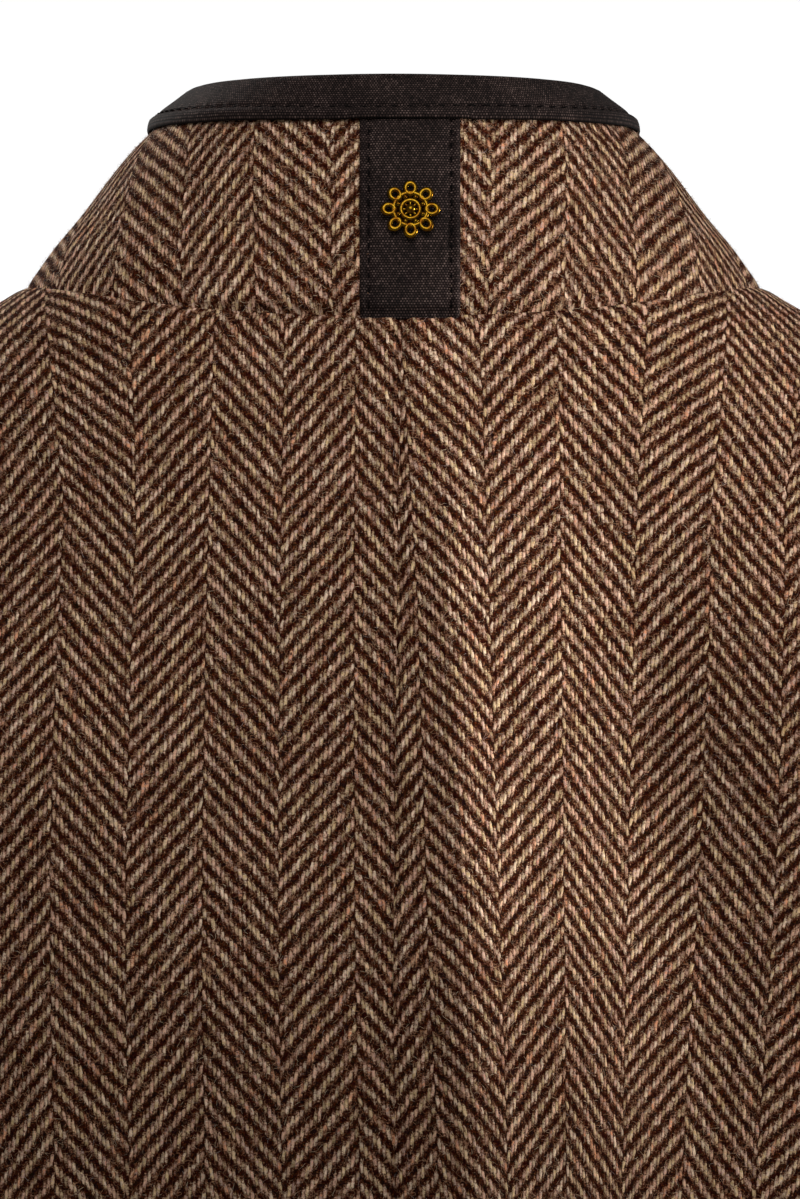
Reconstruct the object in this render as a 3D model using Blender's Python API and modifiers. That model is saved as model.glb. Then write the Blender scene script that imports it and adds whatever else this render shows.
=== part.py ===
"""Sleeveless tweed vest, worn form with nobody in it: two backs, two fronts, a stand collar with a
bound edge, a sewn-on tab with a small metal rosette, and a buttoned front.

Metres, +Z up. The origin is midway between the two points where the neck seam crosses the shoulder seams.
The vest faces -Y, so its back is towards +Y and the wearer's left is +X.
"""

import math

import bmesh
import bpy
import numpy as np
from mathutils import Matrix, Vector

# Cloth and sewing
CLOTH = 0.0020
TRIM = 0.0010
SEAM_GAP = 0.0003

# Neck and collar
NECK_HALF_WIDTH = 0.0937
NECK_BACK = 0.062
NECK_FRONT = 0.072
NECK_BACK_DROP = 0.0130
NECK_FRONT_DROP = 0.065
COLLAR_TOP_HALF_WIDTH = 0.0520
COLLAR_TOP_BACK = 0.0510
COLLAR_TOP_FRONT = 0.0575
COLLAR_TOP_Z = 0.0462
COLLAR_END_GAP = 0.004
BINDING_WIDTH = 0.0139
BINDING_REACH = CLOTH / 2 + SEAM_GAP + TRIM
BINDING_LEG = BINDING_WIDTH - BINDING_REACH

# Tab and rosette at the back of the collar
TAB_WIDTH = 0.0251
TAB_CENTRE = -0.0041
ROSETTE_RADIUS = 0.0068
ROSETTE_THICKNESS = 0.0012
ROSETTE_LOBES = 8
ROSETTE_SCALLOP = 0.00095
ROSETTE_EYE_RING = 0.0038
ROSETTE_EYE_LENGTH = 0.0030
ROSETTE_EYE_WIDTH = 0.0018
ROSETTE_UP_COLLAR = 0.49

# Body
SHOULDER_HALF_WIDTH = 0.190
SHOULDER_DROP = 0.048
UNDERARM_DROP = 0.235
CHEST_HALF_WIDTH = 0.180
WAIST_HALF_WIDTH = 0.162
HEM_HALF_WIDTH = 0.187
HEM_DROP = 0.590
ARMHOLE_BACK_BITE = math.radians(18)
ARMHOLE_FRONT_BITE = math.radians(22)
ARMHOLE_FULLNESS = 0.8

# Front fastening
LAP_HALF_WIDTH = 0.016
LAP_RISE_WIDTH = 0.045
LAP_LIFT = CLOTH + 0.0008
BUTTON_RADIUS = 0.0100
BUTTON_THICKNESS = 0.0040
BUTTON_DISH_RADIUS = 0.0060
BUTTON_DISH_DEPTH = 0.0012
BUTTON_RIM_INSIDE = 0.0072
BUTTON_RIM_OUTSIDE = 0.0092
BUTTON_WIDEST_HEIGHT = 0.0026
BUTTON_FOOT_RADIUS = 0.0070
BUTTON_FOOT_HEIGHT = 0.0008
BUTTON_FOOT_SIDE = 0.0094
BUTTON_HOLE_RADIUS = 0.0011
BUTTON_HOLE_RING = 0.0026
BUTTON_SHANK = 0.0007
BUTTON_COUNT = 5
BUTTON_TOP_DROP = 0.020
BUTTON_BOTTOM_RISE = 0.120

# Each ring of the body: half width, depth behind and before the origin, height at the centre back, side and
# centre front, and how square its plan is (2 is an ellipse).
RING_COLUMNS = ("half_width", "back", "front", "back_z", "side_z", "front_z", "square")
BODY_RINGS = {
    "hem": (HEM_HALF_WIDTH, 0.116, 0.138, -HEM_DROP, -HEM_DROP, -HEM_DROP, 2.2),
    "hip": (0.183, 0.115, 0.135, -0.515, -0.513, -0.515, 2.2),
    "waist": (WAIST_HALF_WIDTH, 0.101, 0.124, -0.395, -0.390, -0.395, 2.2),
    "ribs": (0.171, 0.112, 0.134, -0.314, -0.310, -0.315, 2.25),
    "chest": (CHEST_HALF_WIDTH, 0.1125, 0.143, -0.238, -UNDERARM_DROP, -0.243, 2.3),
    "shoulder": (SHOULDER_HALF_WIDTH, 0.0950, 0.124, -0.134, -SHOULDER_DROP, -0.155, 2.2),
    "yoke": (0.142, 0.0770, 0.096, -0.070, -0.0245, -0.104, 2.05),
    "neck": (NECK_HALF_WIDTH, NECK_BACK, NECK_FRONT, -NECK_BACK_DROP, 0.0, -NECK_FRONT_DROP, 2.0),
}
COLLAR_RINGS = {
    "neck": BODY_RINGS["neck"],
    "stand": (0.0785, 0.0595, 0.0685, 0.0125, 0.0200, -0.0430, 2.0),
    "roll": (0.0638, 0.0553, 0.0625, 0.0345, 0.0382, -0.0220, 2.0),
    "edge": (COLLAR_TOP_HALF_WIDTH, COLLAR_TOP_BACK, COLLAR_TOP_FRONT, COLLAR_TOP_Z, 0.0482, -0.0110, 2.0),
}
# How late, across the half width, a ring climbs from its centre height to its side height.
RING_CLIMB = 2.3

# Soft folds: which side (1 left, -1 right, 0 both), angle from centre back, spread, height of the fold (in is
# negative), and the heights between which it runs out to nothing.
FOLD_COLUMNS = ("side", "angle", "spread", "push", "low", "high")
FOLDS = {
    "spine hollow": (0, 0, 4, -0.0010, -0.47, -0.05),
    "right blade roll": (-1, 9, 6, 0.0045, -0.33, -0.004),
    "right side trough": (-1, 39, 14, -0.0115, -0.35, -0.004),
    "left blade roll": (1, 16, 14, 0.0015, -0.36, -0.01),
    "left side trough": (1, 58, 12, -0.0050, -0.42, -0.12),
    "left waist drape": (1, 60, 9, -0.0050, -0.52, -0.28),
    "right waist drape": (-1, 68, 8, -0.0045, -0.54, -0.30),
    "left hem flute": (1, 38, 12, 0.0050, -0.75, -0.42),
    "right hem flute": (-1, 30, 11, 0.0055, -0.76, -0.43),
    "left side flute": (1, 104, 13, 0.0050, -0.76, -0.44),
    "right side flute": (-1, 112, 12, 0.0050, -0.75, -0.43),
    "left front drape": (1, 138, 9, -0.0045, -0.55, -0.27),
    "right front drape": (-1, 132, 9, -0.0050, -0.53, -0.26),
}

# Mesh fineness
PANEL_COLUMNS = 16
ROWS_BELOW_ARMHOLE = 11
ROWS_BESIDE_ARMHOLE = 12
ROWS_ON_SHOULDER = 5
COLLAR_ROWS = 6
TAB_COLUMNS = 4
BINDING_SIDE_ROWS = 2
BINDING_TURN_ROWS = 4
BUTTON_SIDES = 24
BUTTON_HOLE_SIDES = 8
ROSETTE_POINTS_PER_LOBE = 6
ROSETTE_EYE_POINTS = 8
EVENING_STEPS = 400
STEP = 1e-4

CENTRE_FRONT = math.pi
SIDE = math.pi / 2


def clear_scene():
    for obj in list(bpy.data.objects):
        bpy.data.objects.remove(obj)


def new_collection(name, hidden=False):
    collection = bpy.data.collections.new(name)
    collection.hide_render = hidden
    bpy.context.scene.collection.children.link(collection)
    return collection


def finish(name, colour, roughness, metallic=0.0):
    material = bpy.data.materials.new(name)
    material.use_nodes = True
    shader = material.node_tree.nodes["Principled BSDF"]
    shader.inputs["Base Color"].default_value = (*colour, 1.0)
    shader.inputs["Roughness"].default_value = roughness
    shader.inputs["Metallic"].default_value = metallic
    return material


class Spline:
    """A natural cubic spline through rows of numbers at rising places."""

    def __init__(self, places, rows):
        self.places = np.asarray(places, float)
        self.rows = np.asarray(rows, float)
        gaps = np.diff(self.places)
        slopes = np.diff(self.rows, axis=0) / gaps[:, None]
        count = len(places)
        system = np.eye(count)
        right = np.zeros_like(self.rows)
        for i in range(1, count - 1):
            system[i, i - 1 : i + 2] = gaps[i - 1], 2 * (gaps[i - 1] + gaps[i]), gaps[i]
            right[i] = 6 * (slopes[i] - slopes[i - 1])
        self.bends = np.linalg.solve(system, right)

    def __call__(self, at):
        at = np.asarray(at, float)
        i = np.clip(np.searchsorted(self.places, at) - 1, 0, len(self.places) - 2)
        gap = (self.places[i + 1] - self.places[i])[..., None]
        after = (at - self.places[i])[..., None] / gap
        before = 1 - after
        curve = (before**3 - before) * self.bends[i] + (after**3 - after) * self.bends[i + 1]
        return before * self.rows[i] + after * self.rows[i + 1] + curve * gap**2 / 6


def ring_spline(rings):
    """A spline up through a table of rings, placed by their mean distances at the back and the side."""
    table = np.array(list(rings.values()))
    column = {name: table[:, i] for i, name in enumerate(RING_COLUMNS)}
    back_run = np.hypot(np.diff(column["back"]), np.diff(column["back_z"]))
    side_run = np.hypot(np.diff(column["half_width"]), np.diff(column["side_z"]))
    places = np.concatenate([[0], np.cumsum((back_run + side_run) / 2)])
    return Spline(places, table), dict(zip(rings, places))


BODY_SPLINE, BODY_AT = ring_spline(BODY_RINGS)
COLLAR_SPLINE, COLLAR_AT = ring_spline(COLLAR_RINGS)


def fold_push(angle, height):
    """How far the soft folds move the cloth out at an angle from centre back, plus is the wearer's left."""
    total = np.zeros(np.broadcast(angle, height).shape)
    for row in FOLDS.values():
        fold = dict(zip(FOLD_COLUMNS, row))
        turn = np.abs(angle) if fold["side"] == 0 else angle * fold["side"]
        across = np.exp(-(((np.degrees(turn) - fold["angle"]) / fold["spread"]) ** 2))
        along = np.clip((height - fold["low"]) / (fold["high"] - fold["low"]), 0, 1)
        total = total + fold["push"] * across * np.sin(math.pi * along) ** 2
    return total


def ring_point(spline, angle, at, folded):
    """Points on the cloth's outer face at an angle from centre back and a place up the rings."""
    angle, at = np.broadcast_arrays(np.asarray(angle, float), np.asarray(at, float))
    ring = {name: spline(at)[..., i] for i, name in enumerate(RING_COLUMNS)}
    behind = np.cos(angle) >= 0
    depth = np.where(behind, ring["back"], ring["front"])
    across = np.abs(np.sin(angle) / ring["half_width"]) ** ring["square"]
    along = np.abs(np.cos(angle) / depth) ** ring["square"]
    radius = (across + along) ** (-1 / ring["square"])
    centre_z = np.where(behind, ring["back_z"], ring["front_z"])
    share = np.clip(np.abs(radius * np.sin(angle)) / ring["half_width"], 0, 1)
    height = ring["side_z"] + (centre_z - ring["side_z"]) * (1 - share**RING_CLIMB)
    if folded:
        radius = radius + fold_push(angle, height)
    return np.stack([radius * np.sin(angle), radius * np.cos(angle), height], axis=-1)


def body_point(angle, at):
    return ring_point(BODY_SPLINE, angle, at, folded=True)


def collar_point(angle, at):
    return ring_point(COLLAR_SPLINE, angle, at, folded=False)


def unit(vectors):
    return vectors / np.linalg.norm(vectors, axis=-1, keepdims=True)


def outward(surface, angle, at):
    """The surface's outward normal, from small steps round and up it."""
    round_it = surface(angle + STEP, at) - surface(angle - STEP, at)
    up_it = surface(angle, at + STEP) - surface(angle, at - STEP)
    return unit(np.cross(up_it, round_it))


def moved_out(surface, angle, at, distance):
    distance = np.asarray(distance, float)
    return surface(angle, at) + outward(surface, angle, at) * distance[..., None]


def cloth_wall(name, outer, inner, material, collection):
    """A closed wall: a grid of outer points, extruded inwards to the matching inner points."""
    rows, columns = outer.shape[:2]
    mesh = bmesh.new()
    number = mesh.verts.layers.int.new("number")
    grid = bmesh.ops.create_grid(mesh, x_segments=columns - 1, y_segments=rows - 1, size=1)
    for i, vert in enumerate(grid["verts"]):
        vert[number] = i
        vert.co = outer.reshape(-1, 3)[i]
    inside = bmesh.ops.extrude_face_region(mesh, geom=mesh.faces[:], use_keep_orig=True)
    for vert in inside["geom"]:
        if isinstance(vert, bmesh.types.BMVert):
            vert.co = inner.reshape(-1, 3)[vert[number]]
    bmesh.ops.recalc_face_normals(mesh, faces=mesh.faces[:])
    return mesh_object(name, mesh, material, collection)


def mesh_object(name, mesh, material, collection):
    data = bpy.data.meshes.new(name)
    mesh.to_mesh(data)
    mesh.free()
    data.shade_smooth()
    data.set_sharp_from_angle(angle=math.radians(40))
    data.materials.append(material)
    obj = bpy.data.objects.new(name, data)
    collection.objects.link(obj)
    return obj


def panel_rows():
    """Where a panel's rows start at its centre edge and end at its other edge, as places up the body,
    and how far round the armhole each ends (0 where the edge is a seam)."""
    hem, underarm, tip = BODY_AT["hem"], BODY_AT["chest"], BODY_AT["shoulder"]
    neck = BODY_AT["neck"] - SEAM_GAP / 2
    below = np.linspace(hem, underarm, ROWS_BELOW_ARMHOLE)
    beside = np.linspace(underarm, tip, ROWS_BESIDE_ARMHOLE + 1)[1:]
    above = np.linspace(tip, neck, ROWS_ON_SHOULDER + 1)[1:]
    turn = np.linspace(0, math.pi, ROWS_BESIDE_ARMHOLE + 1)[1:]
    round_armhole = (underarm + tip) / 2 - (tip - underarm) / 2 * np.cos(turn)
    centre = np.concatenate([below, beside, above])
    edge = np.concatenate([below, round_armhole, above])
    turns = np.concatenate([np.zeros_like(below), turn, np.zeros_like(above)])
    return centre, edge, turns


def armhole_bite(turn, depth):
    return depth * np.clip(np.sin(turn), 0, 1) ** ARMHOLE_FULLNESS


def panel_grid(first, last, side):
    """Angles and places for a panel's grid between two edges, evened so that rows bend round the armhole."""
    share = np.linspace(0, 1, PANEL_COLUMNS + 1)[:, None]
    first, last = np.stack(first, axis=-1), np.stack(last, axis=-1)
    grid = first[:, None] + (last - first)[:, None] * share
    for _ in range(EVENING_STEPS):
        grid[1:-1, 1:-1] = (grid[:-2, 1:-1] + grid[2:, 1:-1] + grid[1:-1, :-2] + grid[1:-1, 2:]) / 4
    return side * grid[..., 0], grid[..., 1]


def gap_angle(at, angle):
    """Half a seam's gap as an angle round the body."""
    return SEAM_GAP / 2 / np.linalg.norm(body_point(angle, at)[..., :2], axis=-1)


def back_panel(name, side, material, collection):
    centre, edge, turn = panel_rows()
    first = gap_angle(centre, np.zeros_like(centre))
    last = SIDE - armhole_bite(turn, ARMHOLE_BACK_BITE) - gap_angle(edge, np.full_like(edge, SIDE))
    angle, place = panel_grid((first, centre), (last, edge), side)
    outer = body_point(angle, place)
    inner = moved_out(body_point, angle, place, np.full(place.shape, -CLOTH))
    return cloth_wall(name, outer, inner, material, collection)


def lap_lift(angle, at, lift):
    """How far the upper front stands off the lower one, falling to nothing a lap's rise from centre front."""
    distance = np.abs(body_point(angle, at)[..., 0])
    past = np.abs(angle) > CENTRE_FRONT
    near = np.where(past, 1, np.clip(1 - (distance - LAP_HALF_WIDTH) / LAP_RISE_WIDTH, 0, 1))
    return lift * near * near * (3 - 2 * near)


def front_panel(name, side, lift, material, collection):
    centre, edge, turn = panel_rows()
    first = SIDE + armhole_bite(turn, ARMHOLE_FRONT_BITE) + gap_angle(edge, np.full_like(edge, SIDE))
    lap_radius = np.linalg.norm(body_point(CENTRE_FRONT, centre)[..., :2], axis=-1)
    last = CENTRE_FRONT + LAP_HALF_WIDTH / lap_radius
    angle, place = panel_grid((first, edge), (last, centre), side)
    lifted = lap_lift(angle, place, lift)
    outer = moved_out(body_point, angle, place, lifted)
    inner = moved_out(body_point, angle, place, lifted - CLOTH)
    return cloth_wall(name, outer, inner, material, collection)


def collar_angles():
    """The collar's columns stand on the panels' columns, from one front end to the other."""
    end = CENTRE_FRONT - COLLAR_END_GAP / 2 / NECK_FRONT
    half = np.concatenate(
        [np.linspace(0, SIDE, PANEL_COLUMNS + 1), np.linspace(SIDE, end, PANEL_COLUMNS + 1)[1:]]
    )
    return np.concatenate([-half[:0:-1], half])


def collar_place_below_edge(distance):
    """The place up the collar that lies this far below its top edge, measured at centre back."""
    run = COLLAR_AT["edge"] - COLLAR_AT["neck"]
    slant = np.linalg.norm(collar_point(0.0, COLLAR_AT["edge"]) - collar_point(0.0, COLLAR_AT["neck"]))
    return COLLAR_AT["edge"] - distance * run / slant


def collar_stand(material, collection):
    places = np.linspace(COLLAR_AT["neck"] + SEAM_GAP / 2, COLLAR_AT["edge"], COLLAR_ROWS + 1)
    angle, place = np.meshgrid(collar_angles(), places)
    outer = collar_point(angle, place)
    inner = moved_out(collar_point, angle, place, np.full(place.shape, -CLOTH))
    return cloth_wall("collar_stand", outer, inner, material, collection)


def binding_fold(angle, reach):
    """The collar's edge wrapped at a distance from the middle of its wall: up outside, over, down inside."""
    low = collar_place_below_edge(BINDING_LEG)
    sides = np.linspace(low, COLLAR_AT["edge"], BINDING_SIDE_ROWS + 1)
    edge = COLLAR_AT["edge"]
    normal = outward(collar_point, angle, np.full_like(angle, edge))
    top, bottom = (collar_point(angle, np.full_like(angle, at)) for at in (edge, low))
    middle = top - normal * CLOTH / 2
    climb = unit(top - bottom)
    climb = unit(climb - normal * np.sum(climb * normal, axis=-1, keepdims=True))
    outside = np.full_like(angle, reach - CLOTH / 2)
    inside = np.full_like(angle, -reach - CLOTH / 2)
    rows = [moved_out(collar_point, angle, np.full_like(angle, at), outside) for at in sides]
    for turn in np.linspace(0, math.pi, BINDING_TURN_ROWS + 1)[1:-1]:
        rows.append(middle + (normal * math.cos(turn) + climb * math.sin(turn)) * reach)
    for at in sides[::-1]:
        rows.append(moved_out(collar_point, angle, np.full_like(angle, at), inside))
    return np.array(rows)


def collar_binding(material, collection):
    angle = collar_angles()
    inner = binding_fold(angle, BINDING_REACH - TRIM)
    outer = binding_fold(angle, BINDING_REACH)
    return cloth_wall("collar_binding", outer, inner, material, collection)


def angle_across(at, across):
    """The angle from centre back at which the collar lies this far across."""
    low, high = np.full_like(at, -SIDE / 2), np.full_like(at, SIDE / 2)
    for _ in range(40):
        middle = (low + high) / 2
        short = collar_point(middle, at)[..., 0] < across
        low, high = np.where(short, middle, low), np.where(short, high, middle)
    return (low + high) / 2


def tab_places():
    low = COLLAR_AT["neck"] + SEAM_GAP
    high = collar_place_below_edge(BINDING_LEG + SEAM_GAP)
    return np.linspace(low, high, COLLAR_ROWS + 1)


def collar_tab(material, collection):
    across = TAB_CENTRE + np.linspace(-TAB_WIDTH / 2, TAB_WIDTH / 2, TAB_COLUMNS + 1)
    place = np.repeat(tab_places()[:, None], TAB_COLUMNS + 1, axis=1)
    angle = angle_across(place, np.broadcast_to(across, place.shape))
    inner = moved_out(collar_point, angle, place, np.full(place.shape, SEAM_GAP))
    outer = moved_out(collar_point, angle, place, np.full(place.shape, SEAM_GAP + TRIM))
    return cloth_wall("collar_tab", outer, inner, material, collection)


def seated(obj, point, normal):
    """Stands an object's own +Z along the normal, with its +Y as near up as that allows."""
    z = Vector(normal).normalized()
    x = Vector((0, 0, 1)).cross(z).normalized()
    turn = Matrix((x, z.cross(x), z)).transposed()
    obj.location = point
    obj.rotation_euler = turn.to_euler()


def closed_spline(data, points):
    spline = data.splines.new("POLY")
    spline.points.add(len(points) - 1)
    for place, (x, y) in zip(spline.points, points):
        place.co = (x, y, 0, 1)
    spline.use_cyclic_u = True


def rosette(material, collection):
    """A round openwork plate: a scalloped rim and a ring of petal-shaped eyes."""
    data = bpy.data.curves.new("collar_rosette", "CURVE")
    data.dimensions = "2D"
    data.fill_mode = "BOTH"
    data.extrude = ROSETTE_THICKNESS / 2
    count = ROSETTE_LOBES * ROSETTE_POINTS_PER_LOBE
    rim = []
    for i in range(count):
        turn = 2 * math.pi * i / count
        radius = ROSETTE_RADIUS - ROSETTE_SCALLOP * (1 - abs(math.cos(turn * ROSETTE_LOBES / 2)))
        rim.append((radius * math.cos(turn), radius * math.sin(turn)))
    closed_spline(data, rim)
    for lobe in range(ROSETTE_LOBES):
        turn = 2 * math.pi * lobe / ROSETTE_LOBES
        eye = []
        for i in range(ROSETTE_EYE_POINTS):
            part = 2 * math.pi * i / ROSETTE_EYE_POINTS
            out = ROSETTE_EYE_RING + ROSETTE_EYE_LENGTH / 2 * math.cos(part)
            along = ROSETTE_EYE_WIDTH / 2 * math.sin(part)
            eye.append(
                (out * math.cos(turn) - along * math.sin(turn), out * math.sin(turn) + along * math.cos(turn))
            )
        closed_spline(data, eye)
    data.materials.append(material)
    obj = bpy.data.objects.new("collar_rosette", data)
    collection.objects.link(obj)
    low, high = tab_places()[[0, -1]]
    at = np.array(low + (high - low) * (1 - ROSETTE_UP_COLLAR))
    angle = angle_across(at, TAB_CENTRE)
    reach = np.array(2 * SEAM_GAP + TRIM + ROSETTE_THICKNESS / 2)
    seated(obj, moved_out(collar_point, angle, at, reach), outward(collar_point, angle, at))
    return obj


def button_hole_cutter(collection):
    """Four pins in one object, which cut the holes that the thread goes through."""
    mesh = bmesh.new()
    for quarter in range(4):
        turn = math.pi / 4 + quarter * math.pi / 2
        place = Vector((math.cos(turn), math.sin(turn), 0)) * BUTTON_HOLE_RING
        place.z = BUTTON_THICKNESS / 2
        bmesh.ops.create_cone(
            mesh,
            cap_ends=True,
            segments=BUTTON_HOLE_SIDES,
            radius1=BUTTON_HOLE_RADIUS,
            radius2=BUTTON_HOLE_RADIUS,
            depth=3 * BUTTON_THICKNESS,
            matrix=Matrix.Translation(place),
        )
    data = bpy.data.meshes.new("button_hole_cutter")
    mesh.to_mesh(data)
    mesh.free()
    cutter = bpy.data.objects.new("button_hole_cutter", data)
    cutter.hide_render = True
    cutter.display_type = "WIRE"
    collection.objects.link(cutter)
    return cutter


def button_mesh():
    """A turned button with a raised rim round a dished middle."""
    profile = [
        (0, BUTTON_THICKNESS - BUTTON_DISH_DEPTH),
        (BUTTON_DISH_RADIUS, BUTTON_THICKNESS - BUTTON_DISH_DEPTH),
        (BUTTON_RIM_INSIDE, BUTTON_THICKNESS),
        (BUTTON_RIM_OUTSIDE, BUTTON_THICKNESS),
        (BUTTON_RADIUS, BUTTON_WIDEST_HEIGHT),
        (BUTTON_FOOT_SIDE, BUTTON_FOOT_HEIGHT),
        (BUTTON_FOOT_RADIUS, 0),
        (0, 0),
    ]
    data = bpy.data.meshes.new("button")
    data.from_pydata([(x, 0, z) for x, z in profile], [(i, i + 1) for i in range(len(profile) - 1)], [])
    return data


def place_at_height(height):
    """The place up the body at which centre front has this height."""
    low, high = BODY_AT["hem"], BODY_AT["neck"]
    for _ in range(40):
        middle = (low + high) / 2
        low, high = (middle, high) if body_point(CENTRE_FRONT, middle)[2] < height else (low, middle)
    return np.array((low + high) / 2)


def buttons(material, collection, cutter):
    data = button_mesh()
    data.materials.append(material)
    highest, lowest = -NECK_FRONT_DROP - BUTTON_TOP_DROP, -HEM_DROP + BUTTON_BOTTOM_RISE
    heights = np.linspace(highest, lowest, BUTTON_COUNT)
    for i, height in enumerate(heights):
        obj = bpy.data.objects.new(f"button_{i + 1}", data)
        collection.objects.link(obj)
        turned = obj.modifiers.new("turn", "SCREW")
        turned.axis = "Z"
        turned.steps = BUTTON_SIDES
        turned.render_steps = BUTTON_SIDES
        turned.use_merge_vertices = True
        turned.merge_threshold = 0.00001
        turned.use_smooth_shade = True
        cut = obj.modifiers.new("thread holes", "BOOLEAN")
        cut.object = cutter
        at = place_at_height(height)
        angle = np.array(-CENTRE_FRONT)
        reach = np.array(LAP_LIFT + BUTTON_SHANK)
        seated(obj, moved_out(body_point, angle, at, reach), outward(body_point, angle, at))


def main():
    clear_scene()
    vest = new_collection("tweed_vest")
    cutters = new_collection("cutters", hidden=True)
    tweed = finish("tweed", (0.105, 0.055, 0.032), 0.95)
    trim = finish("trim", (0.018, 0.013, 0.012), 0.85)
    gilt = finish("gilt", (0.55, 0.36, 0.07), 0.3, metallic=1.0)
    horn = finish("horn", (0.045, 0.022, 0.012), 0.35)
    back_panel("back_left", 1, tweed, vest)
    back_panel("back_right", -1, tweed, vest)
    front_panel("front_left", 1, 0.0, tweed, vest)
    front_panel("front_right", -1, LAP_LIFT, tweed, vest)
    collar_stand(tweed, vest)
    collar_binding(trim, vest)
    collar_tab(trim, vest)
    rosette(gilt, vest)
    buttons(horn, vest, button_hole_cutter(cutters))


main()
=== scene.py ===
"""How the tweed vest looks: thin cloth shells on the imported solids, with weave, creases, sewing and nap,
a gilt rosette, horn buttons with their thread, a pale floor, soft light and the camera.

Metres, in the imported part's frame: +Z up, the vest faces -Y, its back is +Y and the wearer's left is +X.
"""

import math
from collections import namedtuple
from types import SimpleNamespace

import bmesh
import bpy
import numpy as np
from mathutils import Matrix, Vector


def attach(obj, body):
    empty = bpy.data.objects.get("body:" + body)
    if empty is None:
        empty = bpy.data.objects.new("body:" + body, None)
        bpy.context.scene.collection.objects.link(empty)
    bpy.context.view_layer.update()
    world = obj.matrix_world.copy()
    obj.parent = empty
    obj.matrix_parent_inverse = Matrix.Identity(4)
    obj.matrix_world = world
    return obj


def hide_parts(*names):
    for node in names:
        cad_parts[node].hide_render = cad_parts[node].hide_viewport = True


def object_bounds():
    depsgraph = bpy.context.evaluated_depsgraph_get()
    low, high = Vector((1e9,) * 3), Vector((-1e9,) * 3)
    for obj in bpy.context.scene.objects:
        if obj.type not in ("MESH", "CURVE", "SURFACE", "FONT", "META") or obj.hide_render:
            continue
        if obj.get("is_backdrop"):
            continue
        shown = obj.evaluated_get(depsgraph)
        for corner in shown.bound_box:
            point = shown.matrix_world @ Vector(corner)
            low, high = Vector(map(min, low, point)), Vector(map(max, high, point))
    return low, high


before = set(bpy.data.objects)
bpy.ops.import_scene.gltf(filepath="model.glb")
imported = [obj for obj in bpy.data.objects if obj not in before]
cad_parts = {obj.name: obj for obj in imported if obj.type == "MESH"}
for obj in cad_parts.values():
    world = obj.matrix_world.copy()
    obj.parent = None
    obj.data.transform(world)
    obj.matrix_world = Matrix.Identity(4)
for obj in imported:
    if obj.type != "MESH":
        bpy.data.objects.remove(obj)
CAD_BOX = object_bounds()
MM = 0.001

# Cloth and sewing
CLOTH = 2.0 * MM
TRIM = 1.0 * MM
SEAM_GAP = 0.3 * MM
SEAM_DEPTH = 1.5 * MM
SEAM_WIDTH = 1.4 * MM
SEAM_SHARPNESS = 1.5
SEAM_PUFF = 0.40 * MM
SEAM_PUFF_INSET = 3.3 * MM
SEAM_PUFF_WIDTH = 2.2 * MM
DEEPEST_SEAM = CLOTH * 0.6
EDGE_ROUND = 0.95 * MM
EDGE_PUFF = 0.35 * MM
EDGE_STITCH_INSET = 6.5 * MM
EDGE_STITCH_PITCH = 3.4 * MM
EDGE_STITCH_LENGTH = 2.5 * MM
EDGE_THREAD_RADIUS = 0.24 * MM
HEM_STITCH_INSET = 24 * MM
GROOVE_DEPTH = 0.45 * MM
GROOVE_WIDTH = 1.3 * MM
TRIM_STITCH_LENGTH = 2.1 * MM
TRIM_THREAD_RADIUS = 0.28 * MM
TRIM_STITCH_PULL = 0.75 * MM
DIMPLE_LEAST = 0.35

# Neck and collar
NECK_FRONT = 72 * MM
NECK_FRONT_DROP = 65 * MM
NECK_SEAM_EASE = 0.8
NECK_EASE_START = 0.6
NECK_EASE_WIDTH = 0.3
COLLAR_END_GAP = 4 * MM
COLLAR_TUCK = 2.0 * MM
COLLAR_TUCK_SLOPE = 0.35
COLLAR_SWELL = 0.6 * MM
COLLAR_SWELL_UP = 12 * MM
COLLAR_SWELL_WIDTH = 8 * MM

# Binding
BINDING_WIDTH = 13.9 * MM
BINDING_REACH = CLOTH / 2 + SEAM_GAP + TRIM
BINDING_LEG = BINDING_WIDTH - BINDING_REACH
BINDING_PUFF = 1.3 * MM
BINDING_PUFF_RISE = 2.2 * MM
BINDING_PUFF_FALL = 0.35
BINDING_CROWN = BINDING_REACH + BINDING_PUFF * (1 - BINDING_PUFF_FALL)
BINDING_EDGE_TURN = 0.8
BINDING_STITCH_UP = 3.7 * MM
BINDING_STITCH_PITCH = 4.1 * MM
BINDING_DIMPLE_LENGTH = 2.6 * MM
BINDING_DIMPLE_WIDTH = 0.75 * MM
BINDING_WAVE = 0.12 * MM
BINDING_WAVE_RUN = 9.1 * MM
BINDING_WAVE_RISE = 3 * MM
BINDING_FOOT = 1.0 * MM
BINDING_OVER_TAB = 0.75 * MM
BINDING_CLIMB_WIDTH = 4.0 * MM

# Tab and rosette
TAB_WIDTH = 25.1 * MM
TAB_CENTRE = -4.1 * MM
TAB_TUCK = COLLAR_TUCK * 0.6
TAB_UNDER_BINDING = 1.2 * MM
TAB_FLAT_TOP = 6 * MM
TAB_STITCH_INSET = 2.3 * MM
TAB_STITCH_PITCH = 3.9 * MM
TAB_DIMPLE_LENGTH = 2.4 * MM
TAB_DIMPLE_WIDTH = 0.6 * MM
TAB_EDGE_PUFF = 0.35 * MM
TAB_EDGE_PUFF_INSET = 1.1 * MM
TAB_EDGE_PUFF_WIDTH = 0.8 * MM
TAB_EDGE_TURN = 0.9
TAB_BELLY = 0.25 * MM
TAB_BELLY_WIDTH = 6 * MM
TAB_SINK = 1.1
ROSETTE_UP_COLLAR = 0.49

# How far the centre back seam strays to the wearer's left, at some heights
SEAM_WANDER_HEIGHTS = (-0.40, -0.22, -0.18, -0.08, -0.013)
SEAM_WANDER = (0.0, -0.3 * MM, 0.15 * MM, -0.85 * MM, -2.1 * MM)

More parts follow.
